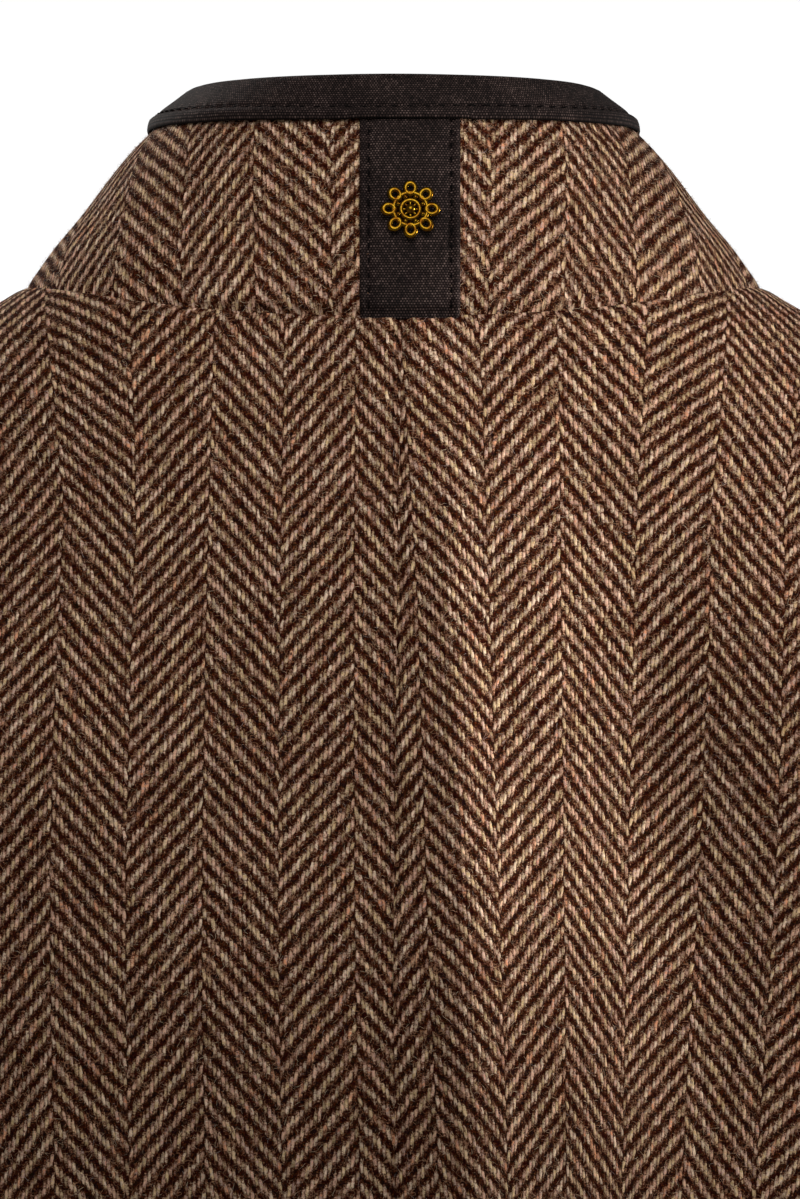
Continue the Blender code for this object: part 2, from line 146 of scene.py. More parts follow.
# Body and front fastening
UNDERARM_DROP = 235 * MM
HEM_DROP = 590 * MM
ARMHOLE_BACK_BITE = math.radians(18)
ARMHOLE_FRONT_BITE = math.radians(22)
ARMHOLE_FULLNESS = 0.8
LAP_HALF_WIDTH = 16 * MM
LAP_RISE_WIDTH = 45 * MM
LAP_LIFT = CLOTH + 0.8 * MM
BUTTON_RADIUS = 10 * MM
BUTTON_THICKNESS = 4 * MM
BUTTON_SHANK = 0.7 * MM
BUTTON_HOLE_RING = 2.6 * MM
BUTTON_HOLE_RADIUS = 1.1 * MM
BUTTON_COUNT = 5
BUTTON_TOP_DROP = 20 * MM
BUTTON_BOTTOM_RISE = 120 * MM

# Rings: half width, depth behind and in front, height at back, side and front, squareness (2 is an ellipse)
RING_COLUMNS = ("half_width", "back", "front", "back_z", "side_z", "front_z", "square")
BODY_RINGS = {
    "hem": (0.187, 0.116, 0.138, -HEM_DROP, -HEM_DROP, -HEM_DROP, 2.2),
    "hip": (0.183, 0.115, 0.135, -0.515, -0.513, -0.515, 2.2),
    "waist": (0.162, 0.101, 0.124, -0.395, -0.390, -0.395, 2.2),
    "ribs": (0.171, 0.112, 0.134, -0.314, -0.310, -0.315, 2.25),
    "chest": (0.180, 0.1125, 0.143, -0.238, -UNDERARM_DROP, -0.243, 2.3),
    "shoulder": (0.190, 0.0950, 0.124, -0.134, -0.048, -0.155, 2.2),
    "yoke": (0.142, 0.0770, 0.096, -0.070, -0.0245, -0.104, 2.05),
    "neck": (0.0937, 0.062, NECK_FRONT, -0.0130, 0.0, -NECK_FRONT_DROP, 2.0),
}
COLLAR_RINGS = {
    "neck": BODY_RINGS["neck"],
    "stand": (0.0785, 0.0595, 0.0685, 0.0125, 0.0200, -0.0430, 2.0),
    "roll": (0.0638, 0.0553, 0.0625, 0.0345, 0.0382, -0.0220, 2.0),
    "edge": (0.0520, 0.0510, 0.0575, 0.0462, 0.0482, -0.0110, 2.0),
}
RING_CLIMB = 2.3

# Soft folds: side (1 left, -1 right, 0 both), degrees from centre back, spread, push out, and end heights
FOLD_COLUMNS = ("side", "angle", "spread", "push", "low", "high")
FOLDS = {
    "spine hollow": (0, 0, 4, -0.0010, -0.47, -0.05),
    "right blade roll": (-1, 9, 6, 0.0045, -0.33, -0.004),
    "right side trough": (-1, 39, 14, -0.0115, -0.35, -0.004),
    "left blade roll": (1, 16, 14, 0.0015, -0.36, -0.01),
    "left side trough": (1, 58, 12, -0.0050, -0.42, -0.12),
    "left waist drape": (1, 60, 9, -0.0050, -0.52, -0.28),
    "right waist drape": (-1, 68, 8, -0.0045, -0.54, -0.30),
    "left hem flute": (1, 38, 12, 0.0050, -0.75, -0.42),
    "right hem flute": (-1, 30, 11, 0.0055, -0.76, -0.43),
    "left side flute": (1, 104, 13, 0.0050, -0.76, -0.44),
    "right side flute": (-1, 112, 12, 0.0050, -0.75, -0.43),
    "left front drape": (1, 138, 9, -0.0045, -0.55, -0.27),
    "right front drape": (-1, 132, 9, -0.0050, -0.53, -0.26),
}

# Finer creases: their ends (degrees from centre back, plus being left, and height), half width and push out
CREASE_COLUMNS = ("from_angle", "from_z", "to_angle", "to_z", "width", "push")
CREASES = {
    "right back waist pull": (-26, -0.352, -62, -0.392, 0.010, -0.0022),
    "right back waist ridge": (-30, -0.376, -58, -0.412, 0.009, 0.0015),
    "left back waist pull": (20, -0.368, 58, -0.384, 0.011, -0.0024),
    "left back waist ridge": (30, -0.398, 60, -0.408, 0.009, 0.0014),
    "centre back dip": (-16, -0.412, 13, -0.404, 0.010, -0.0016),
    "left side buckle": (66, -0.372, 104, -0.392, 0.010, -0.0024),
    "right side buckle": (-70, -0.384, -108, -0.374, 0.010, -0.0022),
    "right armhole drag": (-118, -0.170, -146, -0.262, 0.012, -0.0020),
    "right armhole ridge": (-122, -0.205, -142, -0.282, 0.010, 0.0014),
    "left armhole drag": (116, -0.182, 148, -0.250, 0.012, -0.0019),
    "left armhole ridge": (120, -0.218, 144, -0.272, 0.009, 0.0012),
    "right front waist pull": (-128, -0.352, -168, -0.388, 0.011, -0.0021),
    "left front waist pull": (126, -0.366, 166, -0.384, 0.010, -0.0022),
    "left front waist ridge": (134, -0.392, 164, -0.402, 0.009, 0.0013),
    "right front hip pull": (-140, -0.455, -168, -0.470, 0.012, -0.0016),
    "left front hip pull": (142, -0.448, 168, -0.468, 0.012, -0.0015),
}
CREASE_RADIUS = 0.15

# A panel's coarse rows and columns and their finer division. A row stretch is coarse rows and fine in each.
UNDERARM_ROW = 10
TIP_ROW = 22
NECK_ROW = 27
GRAIN_MARK_ROW = 22
PANEL_COLUMNS = 16
PANEL_ROW_STRETCHES = ((9, 8), (12, 5), (4, 6))
PANEL_COLUMN_DIVISIONS = 4
OPEN_EDGE_FADE = 0.5
EVENING_STEPS = 400
FLATTEN_STEPS = 700
FLATTEN_RATE = 0.15
FLATTEN_MOMENTUM = 0.9
HALVINGS = 40
STEP = 1e-4
EDGE_STEPS = (0, 0.03, 0.06, 0.1, 0.14, 0.19, 0.25, 0.33, 0.42, 0.55, 0.75)
HEM_STEPS = (0, 0.005, 0.013, 0.026, 0.05, 0.09, 0.15, 0.25, 0.37, 0.5, 0.6, 0.67, 0.72, 0.79, 0.88)
NECK_STEPS = (0, 0.02, 0.04, 0.065, 0.09, 0.125, 0.165, 0.22, 0.29, 0.4, 0.55, 0.75)

# Rows and columns of the collar, its binding and its tab, with steps in millimetres from a seam or an edge
COLLAR_COLUMNS = 321
COLLAR_LOW_STEPS = (-2.0, -1.0, 0.0, 0.4, 0.8, 1.2, 1.7, 2.3, 3.0, 4.0, 5.2, 7.0, 9.0)
COLLAR_HIGH_ROWS = 20
COLLAR_SEAM_ROW = 2
COLLAR_FLAT_ROWS = 3
COLLAR_FLAT_COLUMNS = 8
BINDING_LOW_STEPS = (0, 0.15, 0.4, 0.8, 1.3, 1.9, 2.4, 2.8, 3.1, 3.4)
BINDING_HIGH_STEPS = (3.7, 4.0, 4.3, 4.7, 5.2, 5.8, 6.6, 7.6, 8.8)
BINDING_TURN_POINTS = 12
BINDING_INNER_POINTS = 8
BINDING_COLUMNS = 861
TAB_EDGE_STEPS = (0, 0.15, 0.4, 0.7, 1.0, 1.3, 1.6, 1.9, 2.1, 2.3, 2.5, 2.7, 3.0)
TAB_INNER_STEPS = (3.5, 4.2, 5.2, 6.6, 8.3, 10.2)
TAB_ROWS = 130
TAB_TUCK_ROWS = 4

# The weave: a herringbone of two-up-two-down twill, seen as light warp floats on a dark weft
END_WIDTH = 1.094 * MM
PICK_HEIGHT = 1.30 * MM
ENDS_PER_COLUMN = 17
COLUMN = END_WIDTH * ENDS_PER_COLUMN
FLOAT_LEAN = 0.22
BREAK_SHIFT = 1.0
WEAVE_RELIEF = 0.42 * MM

# How each panel lies on the weave: its grain line, run, slant, turn past the blade, shoulder fan, neck pinch
Lay = namedtuple("Lay", "at_grain across slant turn fan pinch", defaults=(0.0, 0.0, 0.0, 0.0))
LAYS = {
    "back_left": Lay(at_grain=COLUMN + 9.9 * MM, across=-1, slant=0.0162, fan=0.15),
    "back_right": Lay(at_grain=-25.8 * MM, across=1, slant=0.0372, turn=0.0924, fan=0.1, pinch=0.04),
    "front_left": Lay(at_grain=0.0, across=1),
    "front_right": Lay(at_grain=0.0, across=-1),
}
GRAIN_FAN_FROM = 75 * MM
GRAIN_FAN_START = 50 * MM
GRAIN_FAN_WIDTH = 40 * MM
GRAIN_PINCH_FROM = 50 * MM
GRAIN_PINCH_WIDTH = 22 * MM
GRAIN_TURN_START = 15 * MM
GRAIN_TURN_WIDTH = 63 * MM
GRAIN_TURN_PIVOT = 45 * MM
COLLAR_EASE = 0.922
COLLAR_FAN = 1.0

CENTRE_FRONT = math.pi
SIDE = math.pi / 2
LEFT = 1
RIGHT = -1
RANDOM_SEED = 7
RANDOM = np.random.default_rng(RANDOM_SEED)


class Spline:
    """A natural cubic spline through rows of numbers at rising places."""

    def __init__(self, places, rows):
        self.places = np.asarray(places, float)
        self.rows = np.asarray(rows, float)
        gaps = np.diff(self.places)
        slopes = np.diff(self.rows, axis=0) / gaps[:, None]
        count = len(places)
        system = np.eye(count)
        right = np.zeros_like(self.rows)
        for i in range(1, count - 1):
            system[i, i - 1 : i + 2] = gaps[i - 1], 2 * (gaps[i - 1] + gaps[i]), gaps[i]
            right[i] = 6 * (slopes[i] - slopes[i - 1])
        self.bends = np.linalg.solve(system, right)

    def __call__(self, at):
        at = np.asarray(at, float)
        i = np.clip(np.searchsorted(self.places, at) - 1, 0, len(self.places) - 2)
        gap = (self.places[i + 1] - self.places[i])[..., None]
        after = (at - self.places[i])[..., None] / gap
        before = 1 - after
        curve = (before**3 - before) * self.bends[i] + (after**3 - after) * self.bends[i + 1]
        return before * self.rows[i] + after * self.rows[i + 1] + curve * gap**2 / 6


def ring_spline(rings):
    """A spline up through a table of rings, placed by their mean distances at the back and the side."""
    table = np.array(list(rings.values()))
    column = {name: table[:, i] for i, name in enumerate(RING_COLUMNS)}
    back_run = np.hypot(np.diff(column["back"]), np.diff(column["back_z"]))
    side_run = np.hypot(np.diff(column["half_width"]), np.diff(column["side_z"]))
    places = np.concatenate([[0], np.cumsum((back_run + side_run) / 2)])
    return Spline(places, table), dict(zip(rings, places))


BODY_SPLINE, BODY_AT = ring_spline(BODY_RINGS)
COLLAR_SPLINE, COLLAR_AT = ring_spline(COLLAR_RINGS)


def fold_push(angle, height):
    """How far the soft folds and the finer creases move the cloth out."""
    total = np.zeros(np.broadcast(angle, height).shape)
    degrees = np.degrees(angle)
    for row in FOLDS.values():
        fold = dict(zip(FOLD_COLUMNS, row))
        turn = np.abs(degrees) if fold["side"] == 0 else degrees * fold["side"]
        across = np.exp(-(((turn - fold["angle"]) / fold["spread"]) ** 2))
        along = np.clip((height - fold["low"]) / (fold["high"] - fold["low"]), 0, 1)
        total = total + fold["push"] * across * np.sin(math.pi * along) ** 2
    for row in CREASES.values():
        crease = dict(zip(CREASE_COLUMNS, row))
        run = math.radians(crease["to_angle"] - crease["from_angle"]) * CREASE_RADIUS
        rise = crease["to_z"] - crease["from_z"]
        x = (angle - math.radians(crease["from_angle"])) * CREASE_RADIUS
        z = height - crease["from_z"]
        along = np.clip((x * run + z * rise) / (run**2 + rise**2), 0, 1)
        away = np.hypot(x - along * run, z - along * rise)
        across = np.exp(-((away / crease["width"]) ** 2))
        total = total + crease["push"] * across * np.sin(math.pi * along) ** 2
    return total


def ring_point(spline, angle, at, folded):
    """Points on the cloth's outer face at an angle from centre back and a place up the rings."""
    angle, at = np.broadcast_arrays(np.asarray(angle, float), np.asarray(at, float))
    ring = {name: spline(at)[..., i] for i, name in enumerate(RING_COLUMNS)}
    behind = np.cos(angle) >= 0
    depth = np.where(behind, ring["back"], ring["front"])
    across = np.abs(np.sin(angle) / ring["half_width"]) ** ring["square"]
    along = np.abs(np.cos(angle) / depth) ** ring["square"]
    radius = (across + along) ** (-1 / ring["square"])
    centre_z = np.where(behind, ring["back_z"], ring["front_z"])
    share = np.clip(np.abs(radius * np.sin(angle)) / ring["half_width"], 0, 1)
    height = ring["side_z"] + (centre_z - ring["side_z"]) * (1 - share**RING_CLIMB)
    if folded:
        radius = radius + fold_push(angle, height)
    return np.stack([radius * np.sin(angle), radius * np.cos(angle), height], axis=-1)


def body_point(angle, at):
    return ring_point(BODY_SPLINE, angle, at, folded=True)


def collar_point(angle, at):
    return ring_point(COLLAR_SPLINE, angle, at, folded=False)


def unit(vectors):
    return vectors / np.linalg.norm(vectors, axis=-1, keepdims=True)


def outward(surface, angle, at):
    """The surface's outward normal, from small steps round and up it."""
    round_it = surface(angle + STEP, at) - surface(angle - STEP, at)
    up_it = surface(angle, at + STEP) - surface(angle, at - STEP)
    return unit(np.cross(up_it, round_it))


def smooth_step(value):
    value = np.clip(value, 0, 1)
    return value * value * (3 - 2 * value)


def halved(low, high, is_short):
    """The place between low and high up to which a test is true, found by halving."""
    for _ in range(HALVINGS):
        middle = (low + high) / 2
        short = is_short(middle)
        low, high = np.where(short, middle, low), np.where(short, high, middle)
    return (low + high) / 2


# Grids


def resampled(grid, rows, columns):
    """A grid of values read between its own rows and columns."""
    low = np.clip(rows.astype(int), 0, grid.shape[0] - 2)
    part = (rows - low)[:, None, None]
    grid = grid[low] * (1 - part) + grid[low + 1] * part
    low = np.clip(columns.astype(int), 0, grid.shape[1] - 2)
    part = (columns - low)[None, :, None]
    return grid[:, low] * (1 - part) + grid[:, low + 1] * part


def stations(first, middles, last):
    """Row or column numbers: a stretch with its own steps at each end, and even ones between."""
    numbers = [np.array(first)]
    place = 1
    for count, divisions in middles:
        numbers.append(place + np.arange(count * divisions) / divisions)
        place += count
    numbers.append(place + 1 - np.array(last)[::-1])
    return np.concatenate(numbers)


def run_lengths(points, axis):
    """Distance along a grid's rows (axis 1) or columns (axis 0) from their start."""
    steps = np.linalg.norm(np.diff(points, axis=axis), axis=-1)
    start = np.zeros_like(np.take(steps, [0], axis=axis))
    return np.concatenate([start, np.cumsum(steps, axis=axis)], axis=axis)


def neighbours(points):
    """Slices that pair each grid point with the ones beside it, above it and across its cells."""
    all_but_last, all_but_first, every = slice(None, -1), slice(1, None), slice(None)
    pairs = [
        ((every, all_but_last), (every, all_but_first)),
        ((all_but_last, every), (all_but_first, every)),
        ((all_but_last, all_but_last), (all_but_first, all_but_first)),
        ((all_but_first, all_but_last), (all_but_last, all_but_first)),
    ]
    return [(a, b, np.linalg.norm(points[b] - points[a], axis=-1)) for a, b in pairs]


def conformal(points):
    """A first lay of the cloth in the plane that keeps its cells' angles, its first column's ends held."""
    rows, columns = points.shape[:2]
    number = np.arange(rows * columns).reshape(rows, columns)
    a, b, c, d = grid_faces(rows, columns).T
    triangles = np.concatenate([np.stack([a, b, c], axis=1), np.stack([a, c, d], axis=1)])
    corners = points.reshape(-1, 3)[triangles]
    base = corners[:, 1] - corners[:, 0]
    side = corners[:, 2] - corners[:, 0]
    base_length = np.linalg.norm(base, axis=1)
    base = base / base_length[:, None]
    height = np.linalg.norm(np.cross(base, side), axis=1)
    plan = np.stack([0 * height, base_length, np.sum(side * base, axis=1) + 1j * height], axis=1)
    weight = (plan[:, [2, 0, 1]] - plan[:, [1, 2, 0]]) / np.sqrt(base_length * height)[:, None]
    system = np.zeros((len(triangles), rows * columns), complex)
    np.add.at(system, (np.arange(len(triangles))[:, None], triangles), weight)
    held = number[[0, -1], 0]
    free = np.setdiff1d(number, held)
    flat = np.zeros(rows * columns, complex)
    flat[held[1]] = 1j * run_lengths(points, 0)[-1, 0]
    flat[free] = np.linalg.lstsq(system[:, free], -system[:, held] @ flat[held], rcond=None)[0]
    return np.stack([flat.real, flat.imag], axis=-1).reshape(rows, columns, 2)


def flattened(points, flat, grain=None):
    """Cloth laid flat: a first guess is moved about until neighbours lie as far apart as on the body.
    A grain column, where there is one, is held straight."""
    links = neighbours(points)
    speed = np.zeros_like(flat)
    for _ in range(FLATTEN_STEPS):
        shift = np.zeros_like(flat)
        for a, b, length in links:
            gap = flat[b] - flat[a]
            now = np.linalg.norm(gap, axis=-1)
            pull = gap * ((now - length) / now / 2)[..., None]
            shift[a] += pull
            shift[b] -= pull
        speed = speed * FLATTEN_MOMENTUM + shift * FLATTEN_RATE
        if grain is not None:
            speed[:, grain] = 0
        flat = flat + speed
    return flat


def grain_straight(points, flat, grain):
    """Shifts each row of flat cloth so that the grain column stands straight, at its true lengths."""
    line = flat[:, grain]
    true = np.stack([np.zeros(len(line)), run_lengths(points, 0)[:, grain]], axis=-1)
    return flat + (true - line)[:, None]


# The panels


def armhole_turn(row):
    return math.pi * np.clip((row - UNDERARM_ROW) / (TIP_ROW - UNDERARM_ROW), 0, 1)


def centre_place(row):
    stops = [BODY_AT[name] for name in ("hem", "chest", "shoulder", "neck")]
    return np.interp(row, [0, UNDERARM_ROW, TIP_ROW, NECK_ROW], stops)


def edge_place(row):
    underarm, tip = BODY_AT["chest"], BODY_AT["shoulder"]
    beside = (row > UNDERARM_ROW) & (row < TIP_ROW)
    round_armhole = (underarm + tip) / 2 - (tip - underarm) / 2 * np.cos(armhole_turn(row))
    return np.where(beside, round_armhole, centre_place(row))


def armhole_bite(row, depth):
    return depth * np.clip(np.sin(armhole_turn(row)), 0, 1) ** ARMHOLE_FULLNESS


def back_edges(row, side):
    centre = centre_place(row)
    middle = body_point(0.0, centre)
    wander = np.interp(middle[..., 2], SEAM_WANDER_HEIGHTS, SEAM_WANDER) / middle[..., 1]
    first = np.stack([side * wander, centre], axis=-1)
    last = np.stack([SIDE - armhole_bite(row, ARMHOLE_BACK_BITE), edge_place(row)], axis=-1)
    return first, last


def front_edges(row, _side):
    first = np.stack([SIDE + armhole_bite(row, ARMHOLE_FRONT_BITE), edge_place(row)], axis=-1)
    centre = centre_place(row)
    lap_radius = np.linalg.norm(body_point(CENTRE_FRONT, centre)[..., :2], axis=-1)
    last = np.stack([CENTRE_FRONT + LAP_HALF_WIDTH / lap_radius, centre], axis=-1)
    return first, last


def coarse_grid(edges, side):
    """A panel's grid between its two edges, evened so that rows bend round the armhole."""
    first, last = edges(np.arange(NECK_ROW + 1.0), side)
    share = np.linspace(0, 1, PANEL_COLUMNS + 1)[:, None]
    grid = first[:, None] + (last - first)[:, None] * share
    for _ in range(EVENING_STEPS):
        grid[1:-1, 1:-1] = (grid[:-2, 1:-1] + grid[2:, 1:-1] + grid[1:-1, :-2] + grid[1:-1, 2:]) / 4
    return grid


def fitted_grid(coarse, edges, rows, columns, side):
    """The coarse grid read finely, with its edges moved onto their true lines."""
    grid = resampled(coarse, rows, columns)
    share = (columns / PANEL_COLUMNS)[None, :, None]
    first, last = edges(rows, side)
    first_error = (first - grid[:, 0])[:, None]
    last_error = (last - grid[:, -1])[:, None]
    return grid + first_error * (1 - share) ** 3 + last_error * share**3


def seam_relief(distance):
    """Cloth drawn in at a seam and puffed up beside it."""
    dip = SEAM_DEPTH * np.exp(-((distance / SEAM_WIDTH) ** SEAM_SHARPNESS))
    return SEAM_PUFF * np.exp(-(((distance - SEAM_PUFF_INSET) / SEAM_PUFF_WIDTH) ** 2)) - dip


def neck_draw(angle):
    """How strongly the neck seam draws its cloth in: hardly at the sides of the neck."""
    return 1 - NECK_SEAM_EASE * smooth_step((np.abs(np.sin(angle)) - NECK_EASE_START) / NECK_EASE_WIDTH)


def edge_turn(distance):
    """How far a turned edge's face curves in towards the middle of the cloth."""
    near = np.clip(1 - distance / EDGE_ROUND, 0, 1)
    return -EDGE_ROUND * (1 - np.sqrt(1 - near**2))


def groove_relief(distance, inset):
    """A row of stitching pulls the cloth in, and the edge beyond it puffs up."""
    groove = GROOVE_DEPTH * np.exp(-(((distance - inset) / GROOVE_WIDTH) ** 2))
    return EDGE_PUFF * np.exp(-(((distance - inset / 2) / (inset / 3)) ** 2)) - groove


def lap_lift(angle, points, lift):
    """How far the upper front stands off the lower one, falling to nothing beside the lap."""
    past = np.abs(angle) > CENTRE_FRONT
    near = np.where(past, 1, 1 - (np.abs(points[..., 0]) - LAP_HALF_WIDTH) / LAP_RISE_WIDTH)
    return lift * smooth_step(near)


def panel(name, edges, side, lift=0.0):
    """A panel's fine grid: outer and inner points, normals, distances from edges and the cloth laid flat."""
    rows = stations(HEM_STEPS, PANEL_ROW_STRETCHES, NECK_STEPS)
    columns = stations(EDGE_STEPS, [(PANEL_COLUMNS - 2, PANEL_COLUMN_DIVISIONS)], EDGE_STEPS)
    coarse = coarse_grid(edges, side)
    grid = fitted_grid(coarse, edges, rows, columns, side)
    angle, place = side * grid[..., 0], grid[..., 1]
    base = body_point(angle, place)
    normal = outward(body_point, angle, place)
    across, up = run_lengths(base, 1), run_lengths(base, 0)
    gap = {
        "first": across,
        "last": across[:, -1:] - across,
        "hem": up,
        "neck": up[-1:] - up,
    }
    in_front = edges is front_edges
    armhole_side, centre_side = ("first", "last") if in_front else ("last", "first")
    open_edge = smooth_step(np.minimum(rows - UNDERARM_ROW, TIP_ROW - rows) / OPEN_EDGE_FADE)[:, None]
    beside = gap[armhole_side]
    seam = seam_relief(beside) * (1 - open_edge)
    armhole = (edge_turn(beside) + groove_relief(beside, EDGE_STITCH_INSET)) * open_edge
    turned = edge_turn(gap["hem"]) + edge_turn(beside) * open_edge
    out = seam + armhole + edge_turn(gap["hem"]) + groove_relief(gap["hem"], HEM_STITCH_INSET)
    out = out + seam_relief(gap["neck"]) * neck_draw(angle)
    if in_front:
        out = out + edge_turn(gap[centre_side]) + groove_relief(gap[centre_side], EDGE_STITCH_INSET)
        turned = turned + edge_turn(gap[centre_side])
    else:
        out = out + seam_relief(gap[centre_side])
    lifted = lap_lift(angle, base, lift)
    half_rows = np.arange(2 * NECK_ROW + 1) / 2
    half_columns = np.arange(2 * PANEL_COLUMNS + 1) / 2
    half = fitted_grid(coarse, edges, half_rows, half_columns, side)
    on_body = body_point(side * half[..., 0], half[..., 1])
    grain = -1 if in_front else 0
    guess = conformal(body_point(side * coarse[..., 0], coarse[..., 1]))
    guess = grain_straight(on_body, resampled(guess, half_rows, half_columns), grain)
    flat = flattened(on_body, guess, grain)
    flat = flat - flat[2 * GRAIN_MARK_ROW, grain]
    return SimpleNamespace(
        name=name,
        rows=rows,
        outer=base + normal * np.maximum(lifted + out, lifted - DEEPEST_SEAM)[..., None],
        inner=base + normal * (lifted - CLOTH - turned)[..., None],
        normal=normal,
        gap=gap,
        flat=resampled(flat, rows * 2, columns * 2),
        armhole_side=armhole_side,
        centre_side=centre_side,
    )


def laid(flat, lay):
    """Where flat cloth lies on the weave: along and off the grain, turned, fanned and pinched."""
    out, up = flat[..., 0], flat[..., 1]
    part = np.clip((out - GRAIN_TURN_START) / GRAIN_TURN_WIDTH, 0, 1)
    turn = lay.turn * smooth_step(part)
    beyond = np.maximum(out - GRAIN_TURN_START - GRAIN_TURN_WIDTH, 0)
    drop = lay.turn * (GRAIN_TURN_WIDTH * (part**3 - part**4 / 2) + beyond)
    fan = lay.fan * np.maximum(up - GRAIN_FAN_FROM, 0)
    fan = fan * np.maximum(out - GRAIN_FAN_START, 0) / GRAIN_FAN_WIDTH
    pinch = lay.pinch * np.maximum(up - GRAIN_PINCH_FROM, 0) * (1 - smooth_step(out / GRAIN_PINCH_WIDTH))
    u = lay.at_grain + lay.across * (out - fan + pinch) + lay.slant * up + turn * (GRAIN_TURN_PIVOT - up)
    return np.stack([u, up + drop], axis=-1)


# Meshes


def new_piece(name, mesh_data, material):
    piece = bpy.data.objects.new(name, mesh_data)
    bpy.context.scene.collection.objects.link(piece)
    mesh_data.materials.append(material)
    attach(piece, "root")
    return piece


def mesh_from(name, points, faces, uv):
    """A smooth mesh from points and faces, with a UV map of one place for each point."""
    data = bpy.data.meshes.new(name)
    data.from_pydata(points.reshape(-1, 3).tolist(), [], [list(face) for face in faces])
    mesh = bmesh.new()
    mesh.from_mesh(data)
    bmesh.ops.recalc_face_normals(mesh, faces=mesh.faces[:])
    mesh.to_mesh(data)
    mesh.free()
    corners = np.zeros(len(data.loops), np.int32)
    data.loops.foreach_get("vertex_index", corners)
    layer = data.uv_layers.new(name="cloth")
    layer.data.foreach_set("uv", uv.reshape(-1, 2)[corners].astype(np.float32).ravel())
    data.shade_smooth()
    return data


def grid_faces(rows, columns):
    number = np.arange(rows * columns).reshape(rows, columns)
    corners = (number[:-1, :-1], number[:-1, 1:], number[1:, 1:], number[1:, :-1])
    return np.stack(corners, axis=-1).reshape(-1, 4)


def rim_of(rows, columns):
    number = np.arange(rows * columns).reshape(rows, columns)
    loop = [number[0, :-1], number[:-1, -1], number[-1, :0:-1], number[:0:-1, 0]]
    return np.concatenate(loop)


def shell(name, outer, inner, uv, material):
    """A closed thin wall between two grids of points."""
    rows, columns = outer.shape[:2]
    count = rows * columns
    faces = grid_faces(rows, columns)
    rim = rim_of(rows, columns)
    following = np.roll(rim, -1)
    sides = np.stack([rim, rim + count, following + count, following], axis=-1)
    all_faces = np.concatenate([faces, faces[:, ::-1] + count, sides])
    points = np.concatenate([outer.reshape(-1, 3), inner.reshape(-1, 3)])
    both = np.concatenate([uv.reshape(-1, 2), uv.reshape(-1, 2)])
    return new_piece(name, mesh_from(name, points, all_faces.tolist(), both), material)


def flat_cut(uv):
    """The size and the area of cloth laid flat."""
    width, length = np.ptp(uv[..., 0]), np.ptp(uv[..., 1])
    a, b = uv[1:, 1:] - uv[:-1, :-1], uv[1:, :-1] - uv[:-1, 1:]
    area = np.abs(a[..., 0] * b[..., 1] - a[..., 1] * b[..., 0]).sum() / 2
    return (float(width), float(length)), float(min(area, width * length))


# Shader writing

# Where a Mix node takes and gives colours, plain and hairy noise's detail, and the range most noise lies in
MIX_COLOUR_INPUTS = (6, 7)
MIX_COLOUR_OUTPUT = 2
PLAIN_DETAIL = 1.0
HAIRY = (2.0, 0.6)
MIDDLING = (0.3, 0.7)


